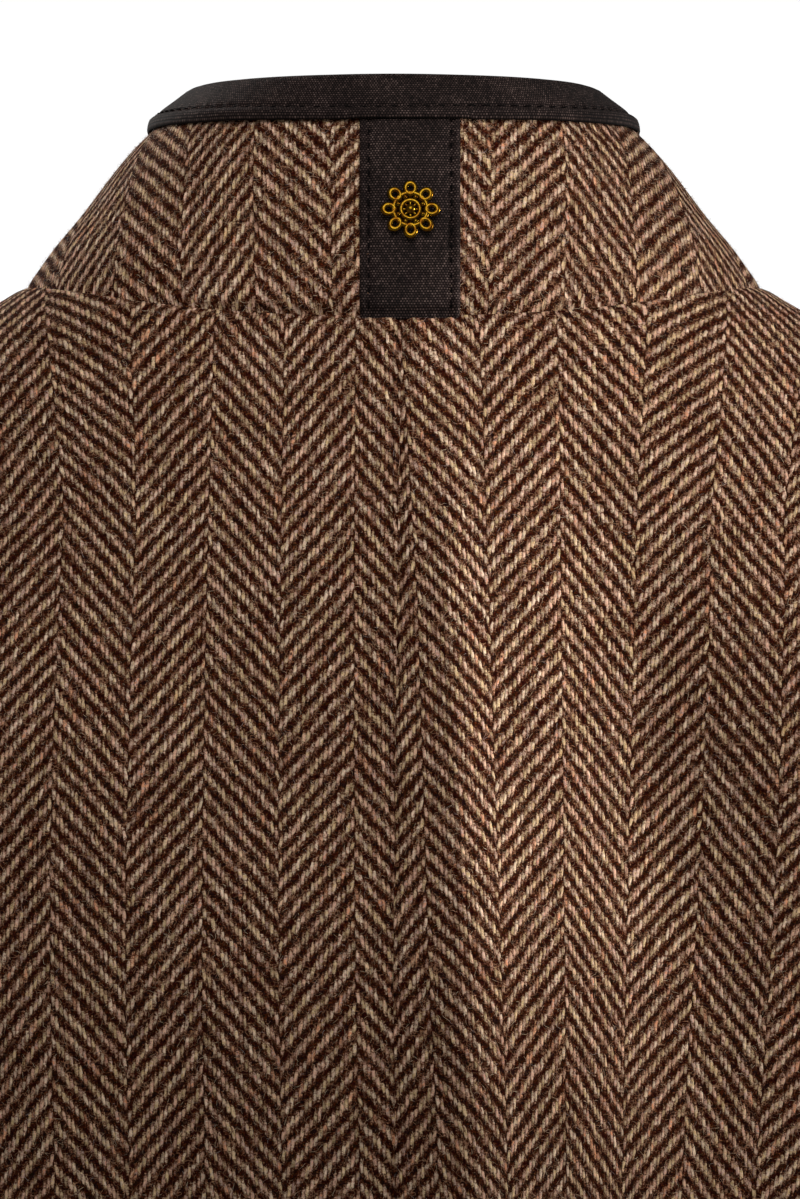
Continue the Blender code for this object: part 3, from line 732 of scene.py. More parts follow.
class Wire:
    """A socket in a material's node tree. Arithmetic on wires adds Math nodes."""

    def __init__(self, tree, socket=None):
        self.tree = tree
        self.socket = socket

    def node(self, kind, settings=None, inputs=None, output=0):
        """A new node: its settings are set first, then its sockets' values or links."""
        made = self.tree.nodes.new(kind)
        for name, value in (settings or {}).items():
            if name == "stops":
                set_stops(made.color_ramp, value)
            else:
                setattr(made, name, value)
        for key, value in (inputs or {}).items():
            if isinstance(value, Wire):
                self.tree.links.new(value.socket, made.inputs[key])
            else:
                made.inputs[key].default_value = value
        return Wire(self.tree, made.outputs[output])

    def math(self, operation, *values):
        return self.node("ShaderNodeMath", {"operation": operation}, dict(enumerate(values)))

    def __add__(self, other):
        return self.math("ADD", self, other)

    __radd__ = __add__

    def __sub__(self, other):
        return self.math("SUBTRACT", self, other)

    def __rsub__(self, other):
        return self.math("SUBTRACT", other, self)

    def __mul__(self, other):
        return self.math("MULTIPLY", self, other)

    __rmul__ = __mul__

    def __truediv__(self, other):
        return self.math("DIVIDE", self, other)

    def __mod__(self, other):
        return self.math("FLOORED_MODULO", self, other)

    def __pow__(self, other):
        return self.math("POWER", self, other)

    def __abs__(self):
        return self.math("ABSOLUTE", self)

    def floor(self):
        return self.math("FLOOR", self)

    def centred(self):
        """A noise or a chance, moved to lie evenly about nought."""
        return self - 0.5

    def off_middle(self):
        """How far off the middle of its own whole step: 0 in the middle and 1 at either end."""
        return abs((self % 1) - 0.5) * 2

    def clamped(self):
        return self.node("ShaderNodeClamp", {}, {0: self})

    def between(self, low, high):
        """0 below low, 1 above high and a smooth rise between."""
        settings = {"interpolation_type": "SMOOTHSTEP"}
        return self.node("ShaderNodeMapRange", settings, {0: self, 1: low, 2: high})

    def vector(self, x, y, z=0.0):
        return self.node("ShaderNodeCombineXYZ", {}, {0: x, 1: y, 2: z})

    def parts(self):
        split = self.node("ShaderNodeSeparateXYZ", {}, {0: self}).socket.node
        return [Wire(self.tree, output) for output in split.outputs]

    def noise(self, scale, detail=2.0, roughness=0.5):
        inputs = {"Vector": self, "Scale": scale, "Detail": detail, "Roughness": roughness}
        return self.node("ShaderNodeTexNoise", {}, inputs)

    def wandered(self, place, wander):
        """This wire moved about by noises over a place, each with its scale and its reach."""
        moved = self
        for scale, reach in wander:
            moved = moved + place.noise(scale, PLAIN_DETAIL).centred() * reach
        return moved

    def chance(self):
        """A random number that is the same wherever this vector is the same."""
        return self.node("ShaderNodeTexWhiteNoise", {"noise_dimensions": "3D"}, {"Vector": self})

    def ramp(self, stops):
        return self.node("ShaderNodeValToRGB", {"stops": stops}, {0: self})

    def mixed(self, first, second):
        """One colour turning into another as this wire goes from 0 to 1."""
        colour_a, colour_b = MIX_COLOUR_INPUTS
        inputs = {0: self, colour_a: first, colour_b: second}
        return self.node("ShaderNodeMix", {"data_type": "RGBA"}, inputs, output=MIX_COLOUR_OUTPUT)

    def shaded(self, amount):
        """This colour times a number."""
        inputs = {0: self, "Scale": amount}
        return self.node("ShaderNodeVectorMath", {"operation": "SCALE"}, inputs)

    def bump(self, strength, distance):
        """A surface normal bumped by this height."""
        inputs = {"Strength": strength, "Distance": distance, "Height": self}
        return self.node("ShaderNodeBump", {}, inputs)


def set_stops(ramp, stops):
    while len(ramp.elements) < len(stops):
        ramp.elements.new(1.0)
    for element, (place, colour) in zip(ramp.elements, stops):
        element.position = place
        element.color = colour


def srgb(red, green, blue):
    """A linear colour from 0 to 255 screen values."""

    def linear(value):
        value = value / 255
        return value / 12.92 if value <= 0.04045 else ((value + 0.055) / 1.055) ** 2.4

    return (linear(red), linear(green), linear(blue), 1.0)


def new_material(name, **constants):
    """A material with its shader's fixed values set, a wire to build on and a function to feed it."""
    material = bpy.data.materials.new(name)
    material.use_nodes = True
    tree = material.node_tree
    shader = tree.nodes["Principled BSDF"]
    for key, value in constants.items():
        shader.inputs[key.replace("_", " ")].default_value = value

    def feed(socket, wire):
        tree.links.new(wire.socket, shader.inputs[socket])

    return material, Wire(tree), feed


def cloth_place(wire):
    return wire.node("ShaderNodeUVMap", {"uv_map": "cloth"})


def object_place(wire):
    return wire.node("ShaderNodeTexCoord", output="Object")


# The tweed's tints along their ramps: the light floats, the brown round them (partly fuzz, partly painted
# shade where they sink into the weft) and the dark weft
LIGHT_YARNS = (
    (0.00, srgb(210, 166, 112)),
    (0.13, srgb(190, 164, 118)),
    (0.26, srgb(226, 194, 156)),
    (0.40, srgb(212, 164, 146)),
    (0.52, srgb(232, 208, 186)),
    (0.64, srgb(208, 176, 120)),
    (0.76, srgb(198, 162, 154)),
    (0.86, srgb(212, 138, 96)),
    (1.00, srgb(234, 200, 166)),
)
BROWN_FUZZ_AND_EDGE_SHADE = (
    (0.10, srgb(106, 55, 30)),
    (0.40, srgb(122, 74, 48)),
    (0.60, srgb(104, 66, 53)),
    (0.90, srgb(142, 85, 48)),
)
DARK_YARNS = (
    (0.00, srgb(24, 13, 6)),
    (0.18, srgb(70, 20, 8)),
    (0.32, srgb(40, 17, 17)),
    (0.46, srgb(92, 38, 14)),
    (0.58, srgb(34, 29, 11)),
    (0.70, srgb(62, 25, 23)),
    (0.82, srgb(22, 22, 25)),
    (1.00, srgb(120, 60, 30)),
)
STRAY_HAIR = srgb(164, 122, 94)

# How the tweed's yarns wander, in ends or picks: a noise's scale and its reach
END_WANDER = ((110.0, 0.7), (420.0, 0.5))
PICK_WANDER = ((90.0, 0.8), (380.0, 0.6))

# The floats: their twill, how far each shows over the weft, its roundness, the painted shade that darkens its
# sides, and how its fibres fray
TWILL_PICKS = 4
SECOND_DRAW = 3.0
THIRD_DRAW = 7.0
FLOAT = SimpleNamespace(reach=0.75, reach_chance=0.4, shift_chance=0.5, squareness=3.2, run=2.4)
FLOAT_SIDE_SHADE = SimpleNamespace(level=0.75, slope=0.45)
FRAY = SimpleNamespace(fibre=0.6, fluff=0.9, tuft=0.8)
FIBRE = SimpleNamespace(across=1.4, along=0.9, column_shift=17.0, rib_shift=5.3, range=(0.28, 0.72))
FLUFF_SCALE = 2600.0
TUFT_SCALE = 1000.0
BROWN_RANGE = (-0.9, 0.05)
LIGHT_RANGE = (-0.3, 0.75)

# The colours: what picks each yarn's tint and what shades it, with painted shade at the light floats' rounded
# sides
STRETCH = SimpleNamespace(yarn=0.3, rib=7.7, range=(0.25, 0.75))
TINT = SimpleNamespace(stretch=0.62, chance=0.34, tuft=0.16, least=0.02)
OTHER_TINT = SimpleNamespace(tint=1.7, fibre=0.5, share=0.5)
LIGHT_SHADE = SimpleNamespace(least=0.60, rounded=0.29, fibre=0.35, chance_least=0.74, chance=0.40)
BROWN_TINT = SimpleNamespace(fluff=0.4, tuft=0.6)
BROWN_SHADE = SimpleNamespace(least=0.6, fibre=0.5)
DYE = SimpleNamespace(across=300.0, up=560.0, draw=3.0)
DARK_TINT = SimpleNamespace(dyed=0.6, tuft=0.4)
# The dark weft's hairs are lighter: partly their own paler tint, partly painted highlight.
DARK_SHADE = SimpleNamespace(least=0.27, hair_tint_and_highlight=1.3)
SLUB = SimpleNamespace(yarn=0.37, up=28.0)
CLOUD_SCALE = 16.0
CLOTH_SHADE = SimpleNamespace(least=0.62, slub=0.4, cloud=0.36)
STRAND = SimpleNamespace(scale=520.0, width=0.03, break_scale=260.0, break_range=(0.47, 0.6), share=0.7)

# The bump: the floats over the weft, with fibres on both
WEFT_HEIGHT = 0.25
FLOAT_HEIGHT = SimpleNamespace(least=0.3, rounded=0.7)
HAIR_HEIGHT = 0.15
WEAVE_BUMP = 0.9


def tweed_weave():
    """Herringbone tweed: each light float is a leaning bead in a slanting rib, on a dark weft."""
    material, wire, feed = new_material("tweed_weave", Roughness=0.95, Specular_IOR_Level=0.02)
    place = cloth_place(wire)
    across, up, _ = place.parts()
    ends = (across / END_WIDTH).wandered(place, END_WANDER)
    picks = (up / PICK_HEIGHT).wandered(place, PICK_WANDER)
    column = (ends / ENDS_PER_COLUMN).floor()
    end = ends - column * ENDS_PER_COLUMN
    odd = column % 2
    sense = 1 - 2 * odd
    climb = picks - sense * end + odd * BREAK_SHIFT
    rib = ((climb + TWILL_PICKS / 2) / TWILL_PICKS).floor()
    off = climb - TWILL_PICKS * rib
    leaning = end - sense * FLOAT_LEAN * off
    number = leaning.floor()
    beside = (leaning - number).centred()
    lengthways = off * (1 + FLOAT_LEAN) + sense * beside
    yarn = number + column * ENDS_PER_COLUMN
    first_chance = wire.vector(yarn, rib, odd).chance()
    second_chance = wire.vector(rib, yarn, odd + SECOND_DRAW).chance()
    third_chance = wire.vector(yarn + 0.5, rib, odd + THIRD_DRAW).chance()
    along_yarn = lengthways * FIBRE.along + rib * FIBRE.rib_shift
    fibre = wire.vector(leaning * FIBRE.across + column * FIBRE.column_shift, along_yarn, odd)
    fibre = fibre.noise(1.0, *HAIRY).between(*FIBRE.range)
    fluff = place.noise(FLUFF_SCALE, *HAIRY).between(*MIDDLING)
    tuft = place.noise(TUFT_SCALE, *HAIRY).between(*MIDDLING)

    middle = lengthways + third_chance.centred() * FLOAT.shift_chance
    longest = (1 + FLOAT_LEAN) * FLOAT.reach
    reach = longest + second_chance.centred() * FLOAT.reach_chance - abs(middle)
    round_across = (1 - (abs(beside) * 2) ** FLOAT.squareness).clamped()
    round_along = (1 - (abs(lengthways) / FLOAT.run) ** 2).clamped()
    loose = fibre.centred() * FRAY.fibre + fluff.centred() * FRAY.fluff + tuft.centred() * FRAY.tuft
    # Painted shade: a float's rounded sides fall towards the brown and dark colours.
    above = reach + (round_across - FLOAT_SIDE_SHADE.level) * FLOAT_SIDE_SHADE.slope + loose
    # Brown round each float: partly fuzz, partly painted shade where the float sinks into the weft.
    brown_mask = above.between(*BROWN_RANGE)
    light_mask = above.between(*LIGHT_RANGE)

    stretch = wire.vector(yarn * STRETCH.yarn, rib * STRETCH.rib, odd)
    stretch = stretch.noise(1.0, PLAIN_DETAIL).between(*STRETCH.range)
    tint = stretch * TINT.stretch + first_chance * TINT.chance + tuft.centred() * TINT.tuft + TINT.least
    other_tint = (tint * OTHER_TINT.tint + fibre * OTHER_TINT.fibre) % 1
    blended = (fluff * OTHER_TINT.share).mixed(tint.ramp(LIGHT_YARNS), other_tint.ramp(LIGHT_YARNS))
    # Painted shade: each light float is darker towards its rounded sides.
    shade = LIGHT_SHADE.least + LIGHT_SHADE.rounded * round_across + LIGHT_SHADE.fibre * fibre
    light = blended.shaded(shade * (LIGHT_SHADE.chance_least + LIGHT_SHADE.chance * second_chance))
    brown = (fluff * BROWN_TINT.fluff + tuft * BROWN_TINT.tuft).ramp(BROWN_FUZZ_AND_EDGE_SHADE)
    brown = brown.shaded(BROWN_SHADE.least + BROWN_SHADE.fibre * fibre)
    dyed = wire.vector(across * DYE.across, up * DYE.up, DYE.draw)
    dyed = dyed.noise(1.0, *HAIRY).between(*MIDDLING)
    dark = (dyed * DARK_TINT.dyed + tuft * DARK_TINT.tuft).ramp(DARK_YARNS)
    # Partly painted highlight: the dark weft is lighter where its fibres and fluff are.
    dark = dark.shaded(DARK_SHADE.least + DARK_SHADE.hair_tint_and_highlight * fluff * fibre)
    slub = wire.vector(yarn * SLUB.yarn, up * SLUB.up).noise(1.0, PLAIN_DETAIL)
    cloud = place.noise(CLOUD_SCALE)
    colour = light_mask.mixed(brown_mask.mixed(dark, brown), light)
    colour = colour.shaded(CLOTH_SHADE.least + CLOTH_SHADE.slub * slub + CLOTH_SHADE.cloud * cloud)
    strand = 1 - abs(place.noise(STRAND.scale, PLAIN_DETAIL).centred()).between(0.0, STRAND.width)
    broken = place.noise(STRAND.break_scale).between(*STRAND.break_range)
    feed("Base Color", (strand * broken * STRAND.share).mixed(colour, STRAY_HAIR))

    weft = (1 - picks.off_middle()) * WEFT_HEIGHT
    float_height = FLOAT_HEIGHT.least + FLOAT_HEIGHT.rounded * round_across * round_along
    height = light_mask * float_height + (1 - light_mask) * weft
    height = height + fibre * HAIR_HEIGHT + fluff * HAIR_HEIGHT
    feed("Normal", height.bump(WEAVE_BUMP, WEAVE_RELIEF))
    return material


# The trim's cotton: its weave, its drift, streaks and wear, and what makes its tone, with painted highlight
# on each thread's crown and painted shade between threads
TRIM_END = 0.37 * MM
TRIM_PICK = 0.61 * MM
TRIM_RELIEF = 0.16 * MM
TRIM_BUMP = 0.7
TRIM_CHANCE_HEIGHT = 0.2
TRIM_DRIFT = SimpleNamespace(scale=260.0, reach=0.4)
TRIM_STREAK = SimpleNamespace(across=900.0, row=0.37)
TRIM_WEAR = SimpleNamespace(scale=70.0, detail=3.0)
TRIM_TONE = SimpleNamespace(thread=0.6, chance=0.3, streak=0.14, wear=0.14)
TRIM_SHADE_TO_HIGHLIGHT = (
    (0.05, srgb(5, 2, 2)),
    (0.35, srgb(19, 12, 11)),
    (0.65, srgb(57, 44, 41)),
    (0.95, srgb(114, 96, 90)),
)


def cotton_weave():
    """Dark plain-weave cotton: rows of small floats, going over and under, painted lighter on their crowns
    and darker between them.
    """
    material, wire, feed = new_material("cotton_weave", Roughness=0.85, Specular_IOR_Level=0.12)
    place = cloth_place(wire)
    across, up, _ = place.parts()
    drift = place.noise(TRIM_DRIFT.scale).centred() * TRIM_DRIFT.reach
    ends = across / TRIM_END + drift
    picks = up / TRIM_PICK - drift
    row = picks.floor()
    shifted = ends / 2 + (row % 2) * 0.5
    thread = (1 - shifted.off_middle() ** 2) * (1 - picks.off_middle() ** 2)
    chance = wire.vector(shifted.floor(), row).chance()
    streak = wire.vector(across * TRIM_STREAK.across, row * TRIM_STREAK.row)
    streak = streak.noise(1.0, PLAIN_DETAIL).between(*MIDDLING)
    worn = place.noise(TRIM_WEAR.scale, TRIM_WEAR.detail).between(*MIDDLING)
    # Painted highlight and shade: each float is lighter on its crown and darker where it dips between
    # threads.
    tone = thread * TRIM_TONE.thread + chance.centred() * TRIM_TONE.chance * thread
    tone = tone + streak * TRIM_TONE.streak + worn * TRIM_TONE.wear
    feed("Base Color", tone.ramp(TRIM_SHADE_TO_HIGHLIGHT))
    feed("Normal", (thread + chance * TRIM_CHANCE_HEIGHT).bump(TRIM_BUMP, TRIM_RELIEF))
    return material


# Thread: its dark and light tints, painted shade in the grooves between plies and painted highlight on their
# crowns, how often its plies wind along a stitch and how many there are
BROWN_THREAD = (srgb(58, 38, 27), srgb(96, 68, 50))
DARK_THREAD = (srgb(5, 3, 3), srgb(14, 10, 10))
PLY_TURNS = 7.0
PLIES = 2.0
PLY_RELIEF = 0.1 * MM
PLY_BUMP = 0.8


def sewing_thread(name, colour, light):
    """Twisted thread: plies wind round each stitch, painted lighter on their crowns and darker in the
    grooves.
    """
    material, wire, feed = new_material(name, Roughness=0.85, Specular_IOR_Level=0.08)
    along, around, _ = cloth_place(wire).parts()
    ply = wire.math("SINE", (along * PLY_TURNS + around * PLIES) * math.tau) * 0.5 + 0.5
    # Painted highlight and shade: the light tint on each ply's crown, the dark one in the groove.
    feed("Base Color", ply.mixed(colour, light))
    feed("Normal", ply.bump(PLY_BUMP, PLY_RELIEF))
    return material


NAP_TINTS = (
    (0.00, srgb(206, 184, 156)),
    (0.30, srgb(176, 146, 116)),
    (0.50, srgb(120, 84, 60)),
    (0.68, srgb(70, 44, 32)),
    (0.84, srgb(188, 132, 92)),
    (1.00, srgb(150, 140, 140)),
)


def wool_fibre():
    """Loose fibres of the nap, each with its own tint."""
    finish = {"Roughness": 0.75, "Specular_IOR_Level": 0.3, "Sheen_Weight": 0.3}
    material, wire, feed = new_material("wool_fibre", **finish)
    tint, _, _ = cloth_place(wire).parts()
    feed("Base Color", tint.ramp(NAP_TINTS))
    return material


# Gilt: its tints, its patches of tarnish, its roughness and its bump
GILT = srgb(114, 86, 18)
GILT_TARNISH = srgb(86, 50, 8)
GILT_PATCHES = SimpleNamespace(scale=900.0, detail=3.0, range=(0.35, 0.7))
GILT_FINE_SCALE = 5200.0
GILT_ROUGHNESS = SimpleNamespace(least=0.16, patches=0.22, fine=0.06)
GILT_FINE_HEIGHT = 0.4
GILT_RELIEF = 0.08 * MM
GILT_BUMP = 0.35


def gilt_metal():
    """Polished gilt with a softer, warmer tarnish in patches."""
    material, wire, feed = new_material("gilt_metal", Metallic=1.0)
    place = object_place(wire)
    patches = place.noise(GILT_PATCHES.scale, GILT_PATCHES.detail)
    fine = place.noise(GILT_FINE_SCALE)
    feed("Base Color", patches.between(*GILT_PATCHES.range).mixed(GILT, GILT_TARNISH))
    rough = GILT_ROUGHNESS.least + GILT_ROUGHNESS.patches * patches + GILT_ROUGHNESS.fine * fine
    feed("Roughness", rough)
    feed("Normal", (patches + fine * GILT_FINE_HEIGHT).bump(GILT_BUMP, GILT_RELIEF))
    return material


# Horn: how its streaks run across, along and up a button, and what makes its tone
HORN_ACROSS = SimpleNamespace(x=90.0, z=160.0)
HORN_ALONG = 60.0
HORN_UP = SimpleNamespace(z=420.0, x=60.0)
HORN_DETAIL = (4.0, 0.62)
HORN_CLOUD_SCALE = 150.0
HORN_TONE = SimpleNamespace(grain=0.75, cloud=0.25)
HORN_ROUGHNESS = SimpleNamespace(least=0.26, grain=0.2)
HORN_STREAKS = (
    (0.20, srgb(34, 20, 13)),
    (0.48, srgb(62, 38, 24)),
    (0.62, srgb(104, 70, 44)),
    (0.80, srgb(158, 122, 86)),
)


def polished_horn():
    """Dark horn with pale streaks."""
    material, wire, feed = new_material("polished_horn", Coat_Weight=0.35, Coat_Roughness=0.12)
    place = object_place(wire)
    x, y, z = place.parts()
    across = x * HORN_ACROSS.x + z * HORN_ACROSS.z
    grain = wire.vector(across, y * HORN_ALONG, z * HORN_UP.z - x * HORN_UP.x).noise(1.0, *HORN_DETAIL)
    cloud = place.noise(HORN_CLOUD_SCALE)
    feed("Base Color", (grain * HORN_TONE.grain + cloud * HORN_TONE.cloud).ramp(HORN_STREAKS))
    feed("Roughness", HORN_ROUGHNESS.least + HORN_ROUGHNESS.grain * grain)
    return material


# The floor's paint: its two tints, and its roughness with a fine speckle
FLOOR_TINTS = (srgb(236, 234, 231), srgb(241, 239, 236))
FLOOR_TINT_SCALE = 3.0
FLOOR_ROUGHNESS = SimpleNamespace(least=0.8, speckle=0.1, scale=40.0)


def floor_paint():
    material, wire, feed = new_material("floor_paint", Specular_IOR_Level=0.1)
    place = object_place(wire)
    feed("Base Color", place.noise(FLOOR_TINT_SCALE).mixed(*FLOOR_TINTS))
    speckle = place.noise(FLOOR_ROUGHNESS.scale)
    feed("Roughness", FLOOR_ROUGHNESS.least + FLOOR_ROUGHNESS.speckle * speckle)
    return material


# The collar, its binding and its tab


def collar_angles(count):
    end = CENTRE_FRONT - COLLAR_END_GAP / 2 / NECK_FRONT
    return np.linspace(-end, end, count)


def collar_slant():
    """How far up its place rises for each metre up the collar's cloth, at centre back."""
    low, high = COLLAR_AT["neck"], COLLAR_AT["edge"]
    return (high - low) / np.linalg.norm(collar_point(0.0, high) - collar_point(0.0, low))


def collar_flat(points, middle):
    """The collar's cloth laid flat: a fan, because the top edge is shorter than the neck seam."""
    round_neck = run_lengths(points, 1)
    round_neck = round_neck - round_neck[:, [middle]]
    up = run_lengths(points, 0)
    height = up[-1, middle]
    shrink = (np.ptp(round_neck[0]) - np.ptp(round_neck[-1])) / height
    radius = np.ptp(round_neck[0]) / shrink
    turn = round_neck[0][None] / radius
    arm = radius - up
    guess = np.stack([arm * np.sin(turn), radius - arm * np.cos(turn)], axis=-1)
    return flattened(points, guess)


def collar_stand(material):
    """The stand collar, tucked into the neck seam, its fronts turned in."""
    rise = collar_slant()
    low_places = COLLAR_AT["neck"] + np.array(COLLAR_LOW_STEPS) * MM * rise
    high_places = np.linspace(low_places[-1], COLLAR_AT["edge"], COLLAR_HIGH_ROWS)[1:]
    places = np.concatenate([low_places, high_places])
    angle, place = np.meshgrid(collar_angles(COLLAR_COLUMNS), places)
    base = collar_point(angle, place)
    normal = outward(collar_point, angle, place)
    above = (place - COLLAR_AT["neck"]) / rise
    along = run_lengths(base, 1)
    from_end = np.minimum(along, along[:, -1:] - along)
    tuck = np.clip(-above, 0, None) * COLLAR_TUCK_SLOPE
    dip = seam_relief(np.maximum(above, 0)) * neck_draw(angle) - tuck
    swell = COLLAR_SWELL * np.exp(-(((above - COLLAR_SWELL_UP) / COLLAR_SWELL_WIDTH) ** 2))
    outer = base + normal * (dip + swell + edge_turn(from_end))[..., None]
    inner = base + normal * (-CLOTH - edge_turn(from_end))[..., None]
    middle = (COLLAR_COLUMNS - 1) // 2
    coarse = base[COLLAR_SEAM_ROW::COLLAR_FLAT_ROWS, ::COLLAR_FLAT_COLUMNS]
    flat = collar_flat(coarse, middle // COLLAR_FLAT_COLUMNS)
    row_numbers = (np.arange(len(places)) - COLLAR_SEAM_ROW) / COLLAR_FLAT_ROWS
    flat = resampled(flat, row_numbers, np.arange(COLLAR_COLUMNS) / COLLAR_FLAT_COLUMNS)
    flat = flat - flat[COLLAR_SEAM_ROW, middle]
    eased = flat[..., 0] * (COLLAR_EASE + COLLAR_FAN * flat[..., 1])
    uv = np.stack([COLUMN - eased + TAB_CENTRE, flat[..., 1]], axis=-1)
    piece = shell("collar_cloth", outer, inner, uv, material)
    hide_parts("collar_stand")
    size, area = flat_cut(flat)
    return SimpleNamespace(outer=outer, normal=normal)


def dimple(along, across, pitch, length, width):
    """Where stitches pull cloth in: a row of short hollows along a line."""
    phase = (along / pitch) % 1 - 0.5
    hollow = np.exp(-((phase * pitch / (length / 2)) ** 4))
    return (DIMPLE_LEAST + (1 - DIMPLE_LEAST) * hollow) * np.exp(-((across / width) ** 2))


def collar_binding(material):
    """Cotton folded over the collar's edge, drawn in along its row of stitches and puffed beside it."""
    angle = collar_angles(BINDING_COLUMNS)
    rise = collar_slant()
    edge = COLLAR_AT["edge"]
    ups = np.append(np.array(BINDING_LOW_STEPS + BINDING_HIGH_STEPS) * MM, BINDING_LEG)

    def face_at(up):
        """Points on the collar this far up the binding, and the collar's way out there."""
        at = np.full_like(angle, edge - (BINDING_LEG - up) * rise)
        return collar_point(angle, at), outward(collar_point, angle, at)

    top, normal_top = face_at(BINDING_LEG)
    lower, _ = face_at(0)
    climb = unit(top - lower)
    climb = unit(climb - normal_top * np.sum(climb * normal_top, axis=-1, keepdims=True))
    along = run_lengths(lower[None], 1)[0]
    past_tab = np.abs(lower[:, 0] - TAB_CENTRE) - TAB_WIDTH / 2
    over_tab = np.where(lower[:, 1] > 0, smooth_step(1 - past_tab / BINDING_CLIMB_WIDTH), 0)
    foot = BINDING_FOOT * neck_draw(angle) + BINDING_OVER_TAB * over_tab
    outer, inner, profile = [], [], []

    def add(centre, way, reach, distance, stand=0.0):
        """Adds a row of points over the collar and under the binding, and their distance round the fold."""
        near = np.broadcast_to(CLOTH / 2 + SEAM_GAP + stand, angle.shape)
        outer.append(centre + way * np.broadcast_to(reach + stand, angle.shape)[..., None])
        inner.append(centre + way * near[..., None])
        profile.append(np.full_like(angle, distance))

    for up in ups:
        face, normal = face_at(up)
        puff = BINDING_PUFF * smooth_step(up / BINDING_PUFF_RISE)
        puff = puff * (1 - BINDING_PUFF_FALL * smooth_step(up / BINDING_LEG))
        from_stitch = up - BINDING_STITCH_UP
        pull = dimple(along, from_stitch, BINDING_STITCH_PITCH, BINDING_DIMPLE_LENGTH, BINDING_DIMPLE_WIDTH)
        wave = BINDING_WAVE * np.sin(along / BINDING_WAVE_RUN) * smooth_step(up / BINDING_WAVE_RISE)
        reach = BINDING_REACH + puff - TRIM_STITCH_PULL * pull + wave + edge_turn(up) * BINDING_EDGE_TURN
        low = 1 - smooth_step(up / BINDING_STITCH_UP)
        add(face - normal * CLOTH / 2, normal, reach, up, foot * low)
    for turn in np.linspace(0, math.pi, BINDING_TURN_POINTS)[1:-1]:
        way = normal_top * math.cos(turn) + climb * math.sin(turn)
        add(top - normal_top * CLOTH / 2, way, BINDING_CROWN, BINDING_LEG + turn * BINDING_CROWN)
    for up in np.linspace(BINDING_LEG, 0, BINDING_INNER_POINTS):
        face, normal = face_at(up)
        reach = BINDING_CROWN + edge_turn(up) * BINDING_EDGE_TURN
        add(face - normal * CLOTH / 2, -normal, reach, 2 * BINDING_LEG + math.pi * BINDING_CROWN - up)
    outer, inner, profile = np.array(outer), np.array(inner), np.array(profile)
    uv = np.stack([np.broadcast_to(along, profile.shape), profile], axis=-1)
    piece = shell("collar_binding_cloth", outer, inner, uv, material)
    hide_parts("collar_binding")
    size, area = flat_cut(uv)
    row = list(ups).index(BINDING_STITCH_UP)
    return SimpleNamespace(outer=outer, stitch_row=row)


def angle_across(at, across):
    """The angle from centre back at which the collar lies this far across."""
    low, high = np.full_like(at, -SIDE / 2), np.full_like(at, SIDE / 2)
    return halved(low, high, lambda angle: collar_point(angle, at)[..., 0] < across)


def collar_tab(material):
    """The cotton tab: its turned edges puff outside their stitching, and its ends are caught in."""
    rise = collar_slant()
    half = np.append(np.array(TAB_EDGE_STEPS + TAB_INNER_STEPS) * MM, TAB_WIDTH / 2)
    from_edge = np.concatenate([half, half[-2::-1]])
    across = np.concatenate([half, TAB_WIDTH - half[-2::-1]]) - TAB_WIDTH / 2 + TAB_CENTRE
    low = COLLAR_AT["neck"] - TAB_TUCK * rise
    high = COLLAR_AT["edge"] - (BINDING_LEG - TAB_UNDER_BINDING) * rise
    place = np.repeat(np.linspace(low, high, TAB_ROWS)[:, None], len(across), axis=1)
    angle = angle_across(place, np.broadcast_to(across, place.shape))
    base = collar_point(angle, place)
    normal = outward(collar_point, angle, place)
    up = (place - COLLAR_AT["neck"]) / rise
    inset = np.broadcast_to(from_edge, up.shape)
    from_stitch = inset - TAB_STITCH_INSET
    pull = dimple(up, from_stitch, TAB_STITCH_PITCH, TAB_DIMPLE_LENGTH, TAB_DIMPLE_WIDTH)
    below_top = smooth_step((high - place) / rise / TAB_FLAT_TOP)
    puff = TAB_EDGE_PUFF * np.exp(-(((inset - TAB_EDGE_PUFF_INSET) / TAB_EDGE_PUFF_WIDTH) ** 2))
    belly = TAB_BELLY * smooth_step(inset / TAB_BELLY_WIDTH)
    sink = np.minimum(seam_relief(np.maximum(up, 0)) * TAB_SINK, 0)
    sink = sink - np.clip(-up, 0, None) * COLLAR_TUCK_SLOPE
    swell = (puff + belly) * below_top - TRIM_STITCH_PULL * pull
    reach = SEAM_GAP + TRIM + swell + edge_turn(inset) * TAB_EDGE_TURN + sink
    outer = base + normal * reach[..., None]
    inner = base + normal * (SEAM_GAP / 2 + sink)[..., None]
    uv = np.stack([np.broadcast_to(across, up.shape), up], axis=-1)
    piece = shell("collar_tab_cloth", outer, inner, uv, material)
    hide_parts("collar_tab")
    size, area = flat_cut(uv)
    off_centre = TAB_WIDTH / 2 - TAB_STITCH_INSET
    lines = [TAB_CENTRE + end * off_centre for end in (-1, 1)]
    columns = [int(np.argmin(np.abs(across - line))) for line in lines]
    return SimpleNamespace(outer=outer, normal=normal, stitch_columns=columns)


# Stitches, nap and small joined things


def read_along(at, along, rows):
    """Rows of three numbers, read at places along them."""
    return np.stack([np.interp(at, along, rows[:, k]) for k in range(3)], axis=-1)


def line_at(points, distance, inset, axis):
    """The line on a grid of points that lies an inset from an edge, along its rows (1) or columns (0)."""
    if axis == 0:
        points, distance = np.swapaxes(points, 0, 1), distance.T
    if distance[0, 0] > distance[0, -1]:
        points, distance = points[:, ::-1], distance[:, ::-1]
    return np.array([read_along(inset, gap, row) for row, gap in zip(points, distance)])


def stitch_places(path, normals, pitch):
    """Evenly spaced places along a path: their middles, the way along and the way out."""
    along = run_lengths(path[None], 1)[0]
    at = (np.arange(int(along[-1] / pitch)) + 0.5) * pitch
    ahead = read_along(at + pitch / 4, along, path)
    behind = read_along(at - pitch / 4, along, path)
    return read_along(at, along, path), unit(ahead - behind), unit(read_along(at, along, normals))


